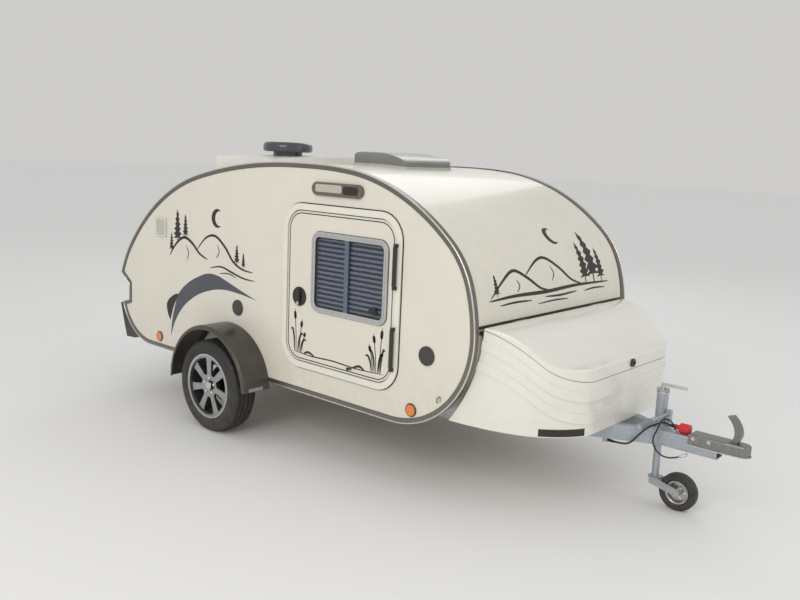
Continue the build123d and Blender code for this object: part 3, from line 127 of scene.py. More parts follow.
class Painting(Wiring):
    """Nodes of a material, laid out by the object's own coordinates."""

    def __init__(self, mat):
        super().__init__(mat)
        self.coords = self.node("TexCoord").outputs["Object"]
        self.axes = self.node("SeparateXYZ", Vector=self.coords).outputs

    def noise(self, scale, detail=4, stretch=(1, 1, 1)):
        """Noise on the object's coordinates, stretched along an axis for grain and streaks."""
        mapping = self.node("Mapping", Vector=self.coords)
        mapping.inputs["Scale"].default_value = stretch
        noise = self.node("TexNoise", Vector=mapping.outputs["Vector"], Scale=scale, Detail=detail)
        return noise.outputs["Fac"]

    def measure(self, name):
        """Coordinate X, Y or Z, or distance from the middle, sideways facing, or distance from a line."""
        if name == "side":
            return self.math("ABSOLUTE", self.axes["Y"])
        if name == "facing":
            normal = self.node("SeparateXYZ", Vector=self.node("TexCoord").outputs["Normal"])
            return self.math("ABSOLUTE", normal.outputs["Y"])
        if isinstance(name, tuple):
            run, rise = (self.math("SUBTRACT", self.axes[axis], at) for axis, at in (name[:2], name[2:]))
            return self.math("SQRT", self.math("ADD", self.math("MULTIPLY", run, run),
                                               self.math("MULTIPLY", rise, rise)))
        return self.axes[name]

    def inside(self, tests):
        """1 where each named measure lies between its limits, else 0."""
        factor = 1
        for name, low, high in tests:
            value = self.measure(name)
            above, below = self.math("GREATER_THAN", value, low), self.math("LESS_THAN", value, high)
            factor = self.math("MULTIPLY", factor, self.math("MULTIPLY", above, below))
        return factor

    def relief(self, heights):
        """Normal after bumps, each a height and its strength."""
        normal = None
        for height, strength in heights:
            rise = self.node("Bump", Height=height, Strength=strength, Distance=BUMP_DEPTH)
            if normal is not None:
                self.put(rise.inputs["Normal"], normal)
            normal = rise.outputs["Normal"]
        return normal


FAR = 99                            # a limit beyond everything
BUMP_DEPTH = 0.001
COAT_ROUGH = 0.08
CLOUD_DETAIL, CLOUD_STOPS = 6, (0.3, 0.7)
STREAK_SCALE, STREAK_STRETCH, STREAK_TONE = 9, (3, 3, 0.22), 0.62
SPECKLE_SCALE, SPECKLE = 90, 0.1    # spots of a zone's colour, lighter or darker by this share
DUST, DUST_FOOT, DUST_SCALE = (0.36, 0.28, 0.19, 1), 0.08, 22
WEAVE_RELIEF, PRISM_RELIEF = 0.22, 0.5


def tone(colour, factor):
    """A colour made lighter or darker, opaque."""
    return [min(1, c * factor) for c in colour] + [1]


def material(name, colour, rough, metal=0, mottle=0.1, scale=6, bump=0, grain=300, coat=0, alpha=1, dust=0,
             dust_top=0.7, spread=0.08, streak=0, stretch=(1, 1, 1), weave=0, prism=0, clear=0, zones=()):
    """Principled material: mottled colour, uneven roughness, bump, dust low down, zones of other colours."""
    mat = bpy.data.materials.new(name)
    w = Painting(mat)
    shader = w.tree.nodes["Principled BSDF"].inputs
    cloud = w.noise(scale, CLOUD_DETAIL, stretch)
    ramp = w.node("ValToRGB", Fac=cloud)
    for stop, at, shift in zip(ramp.color_ramp.elements, CLOUD_STOPS, (-mottle, mottle)):
        stop.position = at
        stop.color = tone(colour, 1 + shift)
    tint = ramp.outputs["Color"]
    roughness = w.spread(cloud, max(0.02, rough - spread), min(1, rough + spread))
    if streak:
        runs = w.spread(w.noise(STREAK_SCALE, 5, STREAK_STRETCH), 0, streak, 0.48, 0.8)
        tint = w.mix(runs, tint, tone(colour, STREAK_TONE))
    shine = metal
    for other, other_rough, other_metal, tests in zones:
        factor = w.inside(tests)
        spots = w.spread(w.noise(SPECKLE_SCALE, 3), 0, 1, 0.35, 0.65)
        tint = w.mix(factor, tint, w.mix(spots, tone(other, 1 - SPECKLE), tone(other, 1 + SPECKLE)))
        roughness = w.math("ADD", w.math("MULTIPLY", roughness, w.math("SUBTRACT", 1, factor)),
                           w.math("MULTIPLY", factor, other_rough))
        if other_metal != metal:
            shine = w.math("ADD", w.math("MULTIPLY", factor, other_metal - metal), shine)
    if dust:
        fade = w.spread(w.axes["Z"], dust, 0, DUST_FOOT, dust_top)
        patches = w.spread(w.noise(DUST_SCALE, 8), 0.1, 1, 0.3, 0.75)
        tint = w.mix(w.math("MULTIPLY", fade, patches), tint, DUST)
    for key, value in (("Base Color", tint), ("Roughness", roughness), ("Metallic", shine), ("Alpha", alpha),
                       ("Coat Weight", coat), ("Coat Roughness", COAT_ROUGH), ("Transmission Weight", clear)):
        w.put(shader[key], value)
    heights = []
    if bump:
        heights.append((w.noise(grain, 3), bump))
    if weave:
        for direction in "XYZ":
            wave = w.node("TexWave", Vector=w.coords, Scale=weave, Distortion=0.6)
            wave.bands_direction = direction
            heights.append((wave.outputs["Fac"], WEAVE_RELIEF))
    if prism:
        facets = w.node("TexVoronoi", Vector=w.coords, Scale=prism)
        heights.append((facets.outputs["Distance"], PRISM_RELIEF))
    if heights:
        w.put(shader["Normal"], w.relief(heights))
    return mat


CREAM = (0.71, 0.675, 0.585)
IVORY = (0.76, 0.74, 0.67)
# Painted shade of the gap between the nose and the lid, for the zones on the nose skin and on the box's back
NOSE_GAP_SHADE = (0.035, 0.027, 0.022)
# Hinge bars in the door gaps: near black, their colour with the gap's shade painted in
HINGE_GAP_SHADE = (0.02, 0.014, 0.011)
CAP_LINE = (0.034, 0.029, 0.024)
HINGE_BAR_IN_SHADE = (HINGE_GAP_SHADE, 0.6, 0)

# Body panels. A zone is a colour, its roughness and metal, and the limits within which it lies.
paint = material(
    "paint", CREAM, 0.3, mottle=0.02, scale=2.5, bump=0.04, grain=700, coat=0.35, dust=0.32, dust_top=0.8,
    streak=0.1)
door_paint = material(
    "door_paint", CREAM, 0.3, mottle=0.02, scale=2.5, bump=0.04, grain=700, coat=0.35, dust=0.2,
    dust_top=0.9, streak=0.08,
    # hinge bars on the door's hinge edge, painted with the door gap's shade
    zones=[(*HINGE_BAR_IN_SHADE, [("X", 0.5268, FAR)]), (*HINGE_BAR_IN_SHADE, [("X", 0.5, FAR), ("side", 0.7872, FAR)])])
roof_paint = material(
    "roof_paint", CREAM, 0.34, mottle=0.025, scale=3, bump=0.05, grain=500, coat=0.25, streak=0.16,
    # painted shade in the gap behind the lid, and a dark band just above the lid's edge: the seal line with
    # the gap's shade painted in
    zones=[(NOSE_GAP_SHADE, 0.5, 0, [("X", 1.0475, FAR), ("side", 0, 0.6)]),
           (NOSE_GAP_SHADE, 0.6, 0, [("X", 1.03, FAR), ("Z", 0.947, 0.965), ("side", 0, 0.738)])])
box_plastic = material(
    "box_plastic", IVORY, 0.2, mottle=0.015, scale=4, bump=0.03, grain=600, coat=0.6, dust=0.25,
    streak=0.06,
    # painted shade: the top of the box's back, seen down the gap under the nose
    zones=[(NOSE_GAP_SHADE, 0.5, 0, [("X", 0, 1.0655), ("Z", 0.92, FAR)])])
pod_paint = material(
    "pod_paint", (0.77, 0.755, 0.7), 0.32, mottle=0.02, scale=3, bump=0.04, grain=600, coat=0.3,
    streak=0.12)
frame_paint = material(
    "frame_paint", (0.74, 0.715, 0.64), 0.26, mottle=0.012, bump=0.03, coat=0.45, streak=0.05,
    # hinge barrels on the frame, painted with the door gap's shade
    zones=[(*HINGE_BAR_IN_SHADE, [("side", 0.7925, FAR)])])

# Metals
# Wall trims: the metal darkened to the trim's look in shade, and a light copy of it on the bead along the
# outer edge as a painted highlight
silver = material("silver", (0.21, 0.195, 0.17), 0.3, metal=0.85, mottle=0.05, bump=0.05, grain=900)
painted_trim_highlight = material("painted_trim_highlight", (0.72, 0.71, 0.68), 0.22, metal=0.85, mottle=0.05, scale=20, bump=0.05)
window_silver = material(
    "window_silver", (0.52, 0.53, 0.52), 0.34, metal=0.6, mottle=0.06, scale=40, bump=0.1,
    zones=[((0.1, 0.13, 0.19), 0.45, 0, [("X", 0.1595, 0.1905), ("Z", 0.903, 1.3)])])
galvanised = material(
    "galvanised", (0.4, 0.44, 0.475), 0.44, metal=0.55, mottle=0.07, scale=45, bump=0.2, grain=150,
    dust=0.2, dust_top=0.5)
zinc = material(
    "zinc", (0.25, 0.25, 0.25), 0.34, metal=0.85, mottle=0.13, scale=55, bump=0.45, grain=230,
    zones=[((0.66, 0.66, 0.63), 0.2, 0.9, [("Z", 0.41, 0.4176)])])
bright_steel = material("bright_steel", (0.62, 0.62, 0.6), 0.22, metal=0.95, mottle=0.06, scale=80, bump=0.08)
lever_steel = material("lever_steel", (0.2, 0.2, 0.2), 0.3, metal=0.6, mottle=0.12, scale=60, bump=0.15)
alloy = material(
    "alloy", (0.075, 0.078, 0.085), 0.32, metal=0.6, scale=60, bump=0.05, dust=0.12, dust_top=0.6,
    zones=[((0.4, 0.405, 0.415), 0.26, 0.95, [("facing", 0.9, 2)]),
           ((0.62, 0.63, 0.64), 0.18, 0.95, [(("X", AXLE_X, "Z", TYRE_R), 0.1975, FAR)])])
small_rim = material(
    "small_rim", (0.52, 0.53, 0.52), 0.24, metal=0.9, scale=90, bump=0.1, dust=0.35, dust_top=0.3)
iron = material("iron", (0.018, 0.017, 0.016), 0.65, metal=0.3, mottle=0.3, scale=40, bump=0.4, grain=200)

# Rubber and plastics
rubber = material(
    "rubber", (0.021, 0.021, 0.021), 0.58, mottle=0.15, scale=18, bump=0.3, grain=500, dust=0.14,
    dust_top=0.5)
seal_rubber = material("seal_rubber", (0.012, 0.011, 0.01), 0.6, mottle=0.2, scale=50, bump=0.2)
grip_grey = material("grip_grey", (0.21, 0.215, 0.225), 0.48, scale=40, bump=0.15, grain=400)
fender_plastic = material(
    "fender_plastic", (0.048, 0.041, 0.034), 0.32, scale=9, bump=0.2, grain=420, coat=0.2, dust=0.14,
    spread=0.1)
bumper_plastic = material(
    "bumper_plastic", (0.022, 0.02, 0.019), 0.45, mottle=0.15, scale=20, bump=0.3, grain=400, dust=0.35)
black_plastic = material(
    "black_plastic", (0.02, 0.018, 0.017), 0.34, mottle=0.15, scale=30, bump=0.15, grain=600)
slate_plastic = material(
    "slate_plastic", (0.055, 0.06, 0.066), 0.22, mottle=0.12, scale=12, bump=0.12, grain=350, coat=0.4)
cap_plastic = material(
    "cap_plastic", (0.05, 0.044, 0.036), 0.36, scale=30, bump=0.2,
    zones=[(CAP_LINE, 0.5, 0, [(("X", 0.759, "Z", 0.769), 0.036, 0.039)]),
           (CAP_LINE, 0.5, 0, [(("X", -0.783, "Z", 0.783), 0.035, 0.038)])])
grille_plastic = material("grille_plastic", (0.62, 0.6, 0.54), 0.45, mottle=0.06, scale=20, bump=0.2)
frame_plastic = material("frame_plastic", (0.46, 0.45, 0.41), 0.5, mottle=0.06, scale=20, bump=0.2)
bezel = material("bezel", (0.115, 0.098, 0.072), 0.3, mottle=0.08, scale=30, bump=0.08, coat=0.4)
plug_red = material("plug_red", (0.58, 0.02, 0.028), 0.32, scale=50, bump=0.12)
cable_skin = material("cable_skin", (0.016, 0.016, 0.016), 0.42, mottle=0.2, scale=60, bump=0.15)
print_dark = material("print_dark", (0.02, 0.015, 0.011), 0.42, mottle=0.12, scale=25, bump=0.05, grain=500)
print_slate = material("print_slate", (0.07, 0.073, 0.09), 0.3, mottle=0.07, scale=10, bump=0.05, grain=500)

# Glass and lenses
glass = material("glass", (0.02, 0.024, 0.03), 0.05, mottle=0.05, coat=0.5, alpha=0.27, spread=0.02)
smoked = material("smoked", (0.27, 0.28, 0.25), 0.24, scale=4, coat=0.25, clear=0.35)
lens_plastic = material("lens_plastic", (0.46, 0.44, 0.37), 0.22, mottle=0.04, scale=40, coat=0.5, prism=260)
lamp_red = material(
    "lamp_red", (0.4, 0.018, 0.014), 0.12, mottle=0.05, coat=0.8, prism=220,
    zones=[((0.75, 0.24, 0.02), 0.14, 0, [("side", 0.62, FAR)]),
           ((0.7, 0.68, 0.66), 0.12, 0, [("side", 0, 0.49)])])
amber = material("amber", (0.72, 0.2, 0.02), 0.14, mottle=0.05, coat=0.8, prism=330)

# Wood and cloth
board = material(
    "board", (0.5, 0.35, 0.2), 0.5, mottle=0.2, scale=14, bump=0.12, grain=120, stretch=(8, 0.6, 8),
    zones=[((0.55, 0.56, 0.56), 0.24, 0.95, [(("X", SINK_X, "Y", SINK_Y), 0, 0.1525), ("Z", 0, 0.8722)])])
lining = material(
    "lining", (0.36, 0.27, 0.17), 0.6, mottle=0.16, scale=12, bump=0.12, grain=120, stretch=(8, 0.6, 8))
blind_cloth = material(
    "blind_cloth", (0.45, 0.51, 0.66), 0.7, mottle=0.06, scale=60, weave=900,
    # painted shade: the inner folds of the pleats made dark
    zones=[((0.075, 0.09, 0.14), 0.8, 0, [("side", 0, 0.7718)])])
cushion_cloth = material("cushion_cloth", (0.3, 0.31, 0.33), 0.9, scale=45, weave=350)
piping = material("piping", (0.12, 0.125, 0.13), 0.85, scale=90, weave=700)

LOOKS = {
    paint: "side_wall_ rear_panel", pod_paint: "roof_pod", door_paint: "door_",
    roof_paint: "roof_skin rear_hatch", box_plastic: "front_box box_lid", frame_paint: "door_frames",
    silver: "wall_trims", zinc: "coupling_head", window_silver: "window_frame_",
    bright_steel: "jockey_crank breakaway_clip", lever_steel: "coupling_handle",
    galvanised: "chassis_rails cross_members drawbar_beam axle_beam swing_arms jockey_tube jockey_clamp "
                "jockey_leg jockey_fork",
    alloy: "rim_", small_rim: "jockey_rim", iron: "hub_", rubber: "tyre_ jockey_tyre",
    fender_plastic: "fenders", bumper_plastic: "rear_bumper", black_plastic: "door_lock_ box_latch",
    slate_plastic: "roof_vent", cap_plastic: "wall_caps", grille_plastic: "wall_vents",
    frame_plastic: "skylight_frame", plug_red: "plug", bezel: "awning_lights",
    cable_skin: "lead breakaway_cable", glass: "window_glass_", smoked: "skylight_dome",
    lamp_red: "rear_lamps", amber: "side_reflectors", board: "galley_counter bulkhead",
    lining: "floor_panel", blind_cloth: "window_blind_", cushion_cloth: "mattress"}
for mat, names in LOOKS.items():
    for name in names.split():
        for tag, s in SIDES:
            for place in nodes[sided(name, tag)].material_slots:
                place.material = mat


# Ways of making a piece
SHARP = radians(35)    # edges that turn more than this stay sharp


def link(name, data, mat=None, body=None):
    """New object for a mesh, curve or light; with a body it is a piece that rides on it."""
    piece = bpy.data.objects.new(name, data)
    scene.collection.objects.link(piece)
    if mat:
        data.materials.append(mat)
    if body:
        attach(piece, body)
    return piece


def solid(name, shape, mat, body="trailer", smooth=True, bevel=0):
    """Piece from a finished bmesh, smooth over its gentle edges."""
    bmesh.ops.recalc_face_normals(shape, faces=shape.faces)
    data = bpy.data.meshes.new(name)
    shape.to_mesh(data)
    shape.free()
    piece = link(name, data, mat, body)
    if bevel:
        edge = piece.modifiers.new("edge", "BEVEL")
        edge.width = bevel
        edge.segments = 2
    if smooth:
        data.shade_smooth()
        data.set_sharp_from_angle(angle=SHARP)
    return piece


def tube(name, path, radius, mat, body="trailer", closed=False, order=3):
    """Round bead, wire or cable along a path, which is smooth at order 3 and straight at 2."""
    data = bpy.data.curves.new(name, "CURVE")
    data.dimensions = "3D"
    data.bevel_depth = radius
    data.bevel_resolution = 3
    data.use_fill_caps = True
    spline = data.splines.new("NURBS" if order > 2 else "POLY")
    spline.points.add(len(path) - 1)
    for point, corner in zip(spline.points, path):
        point.co = (*corner, 1)
    if order > 2:
        spline.order_u = order
        spline.use_endpoint_u = not closed
        spline.resolution_u = 12
    spline.use_cyclic_u = closed
    return link(name, data, mat, body)


def turn(shape, profile, at, axis, segments=32):
    """Add a turned form to a bmesh: (radius, height) points spun about an axis through a point."""
    stand = Vector(axis).to_track_quat("Z", "Y").to_matrix().to_4x4()
    stand.translation = at
    angles = [2 * pi * k / segments for k in range(segments)]
    rings = []
    for radius, height in profile:
        spots = [(radius * cos(a), radius * sin(a), height) for a in angles] if radius else [(0, 0, height)]
        rings.append([shape.verts.new(stand @ Vector(spot)) for spot in spots])
    for low, high in zip(rings, rings[1:]):
        for k in range(segments):
            onto = k + 1
            corners = [low[k % len(low)], low[onto % len(low)], high[onto % len(high)], high[k % len(high)]]
            corners = [c for i, c in enumerate(corners) if c not in corners[:i]]
            if len(corners) > 2:
                shape.faces.new(corners)


def turned(name, profile, at, axis, segments, mat, body="trailer"):
    """Piece that is one turned form."""
    shape = bmesh.new()
    turn(shape, profile, at, axis, segments)
    return solid(name, shape, mat, body)


WASHER = [(0, 0), (1.15, 0), (1.15, 0.14), (0, 0.14)]    # these two in radii of the head
BOLT_HEAD = [(0, 0.14), (0.95, 0.14), (0.95, 0.66), (0.78, 0.78), (0, 0.78)]


def bolts(name, places, axis, size, mat, body="trailer"):
    """Hexagon bolts with washers at several places, heads along the axis."""
    shape = bmesh.new()
    for at in places:
        for profile, segments in ((WASHER, 20), (BOLT_HEAD, 6)):
            turn(shape, [(radius * size, height * size) for radius, height in profile], at, axis, segments)
    return solid(name, shape, mat, body, smooth=False)


def net(shape, rows):
    """Faces between neighbouring rows of corners."""
    for a, b in zip(rows, rows[1:]):
        for k in range(len(a) - 1):
            shape.faces.new((a[k], a[k + 1], b[k + 1], b[k]))


def slab(name, outline, y, depth, mat, body="trailer", bevel=0):
    """Plate with an outline in x and z, from y outwards by a signed depth."""
    shape = bmesh.new()
    near = shape.faces.new([shape.verts.new((x, y, z)) for x, z in outline])
    push = bmesh.ops.extrude_face_region(shape, geom=[near])
    bmesh.ops.translate(shape, vec=(0, depth, 0),
                        verts=[v for v in push["geom"] if isinstance(v, bmesh.types.BMVert)])
    return solid(name, shape, mat, body, bevel=bevel)


def round_box(x_range, z_range, radius, steps=7):
    """Corner points of a rounded rectangle in x and z."""
    (x0, x1), (z0, z1) = x_range, z_range
    points = []
    for k, (x, z) in enumerate(((x1, z1), (x0, z1), (x0, z0), (x1, z0))):
        cx = x - radius if k in (0, 3) else x + radius
        cz = z - radius if k in (0, 1) else z + radius
        for i in range(steps + 1):
            a = pi / 2 * (k + i / steps)
            points.append((cx + radius * cos(a), cz + radius * sin(a)))
    return points


def surface(name):
    """Search tree of a node's surface, for laying things on it."""
    shape = bmesh.new()
    shape.from_mesh(nodes[name].data)
    tree = BVHTree.FromBMesh(shape)
    shape.free()
    return tree


def land(tree, start, direction, lift):
    """Point where a ray meets a surface, lifted off it."""
    spot, normal, _, _ = tree.ray_cast(Vector(start), Vector(direction).normalized())
    if spot is None:
        raise ValueError("nothing to land on from %s" % (tuple(start),))
    if normal.dot(Vector(direction)) > 0:
        normal = -normal
    return spot + normal * lift


def loops(node, pick):
    """Closed lines round the flat regions of a node that pick accepts, longest first."""
    shape = bmesh.new()
    shape.from_mesh(nodes[node].data)
    bmesh.ops.remove_doubles(shape, verts=shape.verts, dist=1e-6)
    shape.normal_update()
    chosen = dict.fromkeys(face for face in shape.faces if pick(face))
    onward = {}
    for face in chosen:
        for edge in face.edges:
            if sum(other in chosen for other in edge.link_faces) == 1:
                first, second = edge.verts
                onward.setdefault(first, []).append(second)
                onward.setdefault(second, []).append(first)
    lines = []
    while onward:
        at = min(onward, key=lambda vert: tuple(vert.co))
        line, before = [], None
        while at in onward:
            line.append(at.co.copy())
            onto = [vert for vert in onward.pop(at) if vert is not before and vert in onward]
            before = at
            if not onto:
                break
            at = onto[0]
        lines.append(line)
    shape.free()
    return sorted(lines, key=lambda line: -sum((a - b).length for a, b in zip(line, line[1:])))


# Pictures on the panels: flat figures in two measures, then laid on a surface
def curve(line):
    """Smooth line through the given points."""
    fine = []
    for i in range(len(line) - 1):
        a, b, c, d = (Vector(line[max(0, min(len(line) - 1, i + k))]) for k in (-1, 0, 1, 2))
        for t in (k / 6 for k in range(6)):
            fine.append(0.5 * (2 * b + (c - a) * t + (2 * a - 5 * b + 4 * c - d) * t * t
                               + (3 * b - a - 3 * c + d) * t * t * t))
    return fine + [Vector(line[-1])]


def crescent(outer, inner):
    """Figure between a smooth line and a second one that leads back from its end to its start."""
    return [tuple(p) for p in curve(outer) + curve([outer[-1], *inner, outer[0]])[1:-1]]


def stroke(width, *line, ends=0.12):
    """Brush stroke along a line, full in the middle and thin at its ends."""
    fine = curve(line)
    near, far = [], []
    for i, spot in enumerate(fine):
        along = (fine[min(i + 1, len(fine) - 1)] - fine[max(i - 1, 0)]).normalized()
        half = width / 2 * (ends + (1 - ends) * sin(pi * i / (len(fine) - 1)) ** 0.6)
        across = Vector((-along.y, along.x)) * half
        near.append(spot + across)
        far.append(spot - across)
    return [tuple(p) for p in near + far[::-1]]


def fir(x, z, height, tiers=6):
    """Fir tree with ragged tiers on a thin trunk."""
    front, back = [], []
    for i in range(tiers):
        low = z + height * (0.14 + 0.86 * i / tiers)
        reach = height * 0.21 * (1 - i / tiers) ** 0.8 + height * 0.02
        wobble = 1 + 0.12 * sin(3.1 * i + 9 * x)
        front += [(x + reach * wobble, low), (x + reach * 0.42, low + height * 0.07)]
        back += [(x - reach / wobble, low - height * 0.012), (x - reach * 0.42, low + height * 0.065)]
    half = height * 0.02
    trunk = [(x - half, z), (x + half, z), (x + half, z + height * 0.15)]
    return trunk + front + [(x, z + height)] + back[::-1] + [(x - half, z + height * 0.15)]


def reed(x, z, height, bend):
    """Reed with a brown head: a thin curved stalk and a fat tip."""
    stalk = [(x + bend * share, z + height * up) for share, up in ((0, 0), (0.25, 0.4), (0.65, 0.75), (1, 1))]
    head = [(x + bend * share, z + height * up) for share, up in ((0.66, 0.76), (0.8, 0.86), (0.92, 0.94))]
    return [stroke(0.006, *stalk, ends=0.5), stroke(0.022, *head, ends=0.5)]


def blade(x, z, height, bend):
    """Long leaf that bows over."""
    spine = [(x + bend * share, z + height * up)
             for share, up in ((0, 0), (0.2, 0.55), (0.6, 0.9), (1, 0.86))]
    return stroke(0.014, *spine, ends=0.1)


def moon(x, z, radius):
    """Crescent moon, open to the right: a circle with a smaller one bitten out."""
    middle, bite = x + 0.42 * radius, 0.798 * radius
    outer = [radians(50 + 10 * k) for k in range(27)]
    inner = [radians(278 - 10 * k) for k in range(20)]
    return ([(x + radius * cos(a), z + radius * sin(a)) for a in outer]
            + [(middle + bite * cos(a), z + bite * sin(a)) for a in inner])


def picture(name, figures, lay, mat, body="trailer", cut=0):
    """Thin print: figures are filled, cut into strips where the surface curves, and laid on it."""
    shape = bmesh.new()
    for outline in figures:
        flat = [Vector((u, v, 0)) for u, v in outline]
        verts = [shape.verts.new(p) for p in flat]
        for corners in tessellate_polygon([flat]):
            shape.faces.new([verts[k] for k in corners])
    if cut:
        low, high = min(v.co.y for v in shape.verts), max(v.co.y for v in shape.verts)
        for k in range(1, ceil((high - low) / cut)):
            bmesh.ops.bisect_plane(shape, geom=shape.verts[:] + shape.edges[:] + shape.faces[:],
                                   plane_co=(0, low + k * cut, 0), plane_no=(0, 1, 0))
    for vert in shape.verts:
        vert.co = lay(vert.co.x, vert.co.y)
    data = bpy.data.meshes.new(name)
    shape.to_mesh(data)
    shape.free()
    return link(name, data, mat, body)


# Cables on the drawbar, along the routes of their solids
PLUG_Z = 0.4773
LEAD = [
    (1.4763, -0.135, 0.36), (1.53, -0.135, 0.358), (1.588, -0.12, 0.362), (1.628, -0.112, 0.418),
    (1.666, -0.098, 0.466), (1.708, -0.072, 0.49), (1.714, -0.024, 0.492), (1.738, 0, PLUG_Z),
    (1.7747, 0, PLUG_Z)]
LOOP = [
    (1.782, -0.024, 0.4677), (1.77, -0.022, 0.505), (1.728, -0.066, 0.528), (1.722, -0.098, 0.472),
    (1.694, -0.086, 0.415), (1.7, -0.072, 0.362), (1.738, -0.062, 0.326), (1.79, -0.055, 0.324),
    (1.828, -0.055, 0.344)]
LEAD_RELIEF = [
    (0, 0), (0.0085, 0), (0.0085, 0.006), (0.0076, 0.012), (0.008, 0.014), (0.0066, 0.024),
    (0.007, 0.026), (0.0056, 0.036), (0.0052, 0.04), (0, 0.04)]
PLUG_RELIEF = [
    (0, 0), (0.0118, 0), (0.0112, 0.008), (0.0096, 0.011), (0.0092, 0.018), (0.0078, 0.021),
    (0.0072, 0.028), (0.0056, 0.034), (0, 0.034)]
lead = tube("lead_cable", LEAD, 0.005, cable_skin)
loop = tube("loop_cable", LOOP, 0.004, cable_skin)
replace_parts(lead, "lead")
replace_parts(loop, "breakaway_cable")
lead_relief = turned("lead_relief", LEAD_RELIEF, LEAD[0], Vector(LEAD[1]) - Vector(LEAD[0]), 24, seal_rubber)
plug_relief = turned("plug_relief", PLUG_RELIEF, LEAD[-1], (-1, 0, 0), 24, seal_rubber)

RIDGES, RIDGE_AT, RIDGE_R = 12, 0.0243, 0.0016    # grip ridges round the plug
ridges = bmesh.new()
for k in range(RIDGES):
    a = 2 * pi * k / RIDGES
    turn(ridges, [(0, 0), (RIDGE_R, 0), (RIDGE_R, 0.034), (0, 0.036)],
         (1.803, RIDGE_AT * cos(a), PLUG_Z + RIDGE_AT * sin(a)), (1, 0, 0), 8)
solid("plug_ridges", ridges, plug_red)

# Lines round door and window: x and z ranges, corner, place from the middle, thickness
DOOR_LINES = (
    ("frame_line", (-0.3555, 0.5695), (0.5175, 1.4815), 0.1545, 0.7806, 0.0032, seal_rubber, "trailer"),
    ("leaf_line", (-0.2975, 0.5115), (0.5755, 1.4235), 0.0965, 0.7853, 0.003, seal_rubber, "door_"),
    ("window_outline", (-0.106, 0.479), (0.871, 1.332), 0.061, 0.7865, 0.002, seal_rubber, "door_"),
    ("window_gasket", (-0.0735, 0.4465), (0.9035, 1.2995), 0.0285, 0.7905, 0.0042, seal_rubber, "door_"),
    ("window_ridge", (-0.084, 0.457), (0.893, 1.31), 0.039, 0.7965, 0.0022, window_silver, "door_"))

for tag, s in SIDES:
    trim_face = loops("wall_trims", lambda f: f.normal.y * s > 0.99 and f.calc_center_median().y * s > 0.7835)
    trim_leg = loops(
        "wall_trims", lambda f: f.normal.y * s < -0.99 and 0.745 < f.calc_center_median().y * s < 0.747)
    shortest = min(trim_leg, key=lambda line: max(p.z for p in line))
    for name, line, y, lift, radius, mat in (
            ("trim_line", trim_face[1], 0.7812, 0, 0.0017, seal_rubber),
            # light bead: painted highlight along the trim's outer edge
            ("trim_edge", trim_face[0], 0.782, 0, 0.0042, painted_trim_highlight),
            ("roof_line", shortest, 0.7445, 0.001, 0.0019, seal_rubber)):
        path = [(p.x, s * y, p.z + lift) for p in line]
        tube("%s_%s" % (name, tag), path, radius, mat, closed=True, order=2)
    for name, x_range, z_range, corner, y, radius, mat, body in DOOR_LINES:
        path = [(x, s * y, z) for x, z in round_box(x_range, z_range, corner)]
        tube("%s_%s" % (name, tag), path, radius, mat, sided(body, tag), closed=True, order=2)

# Sealant on the roof, laid on its curve
ABOVE_ROOF, DOWNWARD = 2.5, (0, 0, -1)
SEALANT_LIFT, SEALANT_R, SEALANT_STEP = 0.0005, 0.003, 0.03
skin = surface("roof_skin")
for name, x_range, half, corner in (
        ("skylight_sealant", (-0.371, 0.081), 0.236, 0.041),
        ("pod_sealant", (-1.121, -0.584), 0.7015, 0.004)):
    path = [land(skin, (x, y, ABOVE_ROOF), DOWNWARD, SEALANT_LIFT)
            for x, y in round_box(x_range, (-half, half), corner, 4)]
    dense = []
    for a, b in zip(path, path[1:] + path[:1]):
        count = max(1, int((a - b).length / SEALANT_STEP))
        for k in range(count):
            spot = a.lerp(b, k / count)
            dense.append(land(skin, (spot.x, spot.y, ABOVE_ROOF), DOWNWARD, SEALANT_LIFT))
    tube(name, dense, SEALANT_R, frame_plastic, closed=True, order=2)

# Rubber in the gap between the nose and the lid's hinge
SEAL_HALF = 0.735
SEAL_PROFILE = [
    (1.0435, 0.922), (1.065, 0.922), (1.0662, 0.938), (1.06, 0.943), (1.05, 0.943), (1.0442, 0.939)]
seal = bmesh.new()
ends = [[seal.verts.new((x, y, z)) for x, z in SEAL_PROFILE] for y in (-SEAL_HALF, SEAL_HALF)]
net(seal, [end + end[:1] for end in ends])
for end in ends:
    seal.faces.new(end)
solid("nose_seal", seal, seal_rubber, smooth=False)

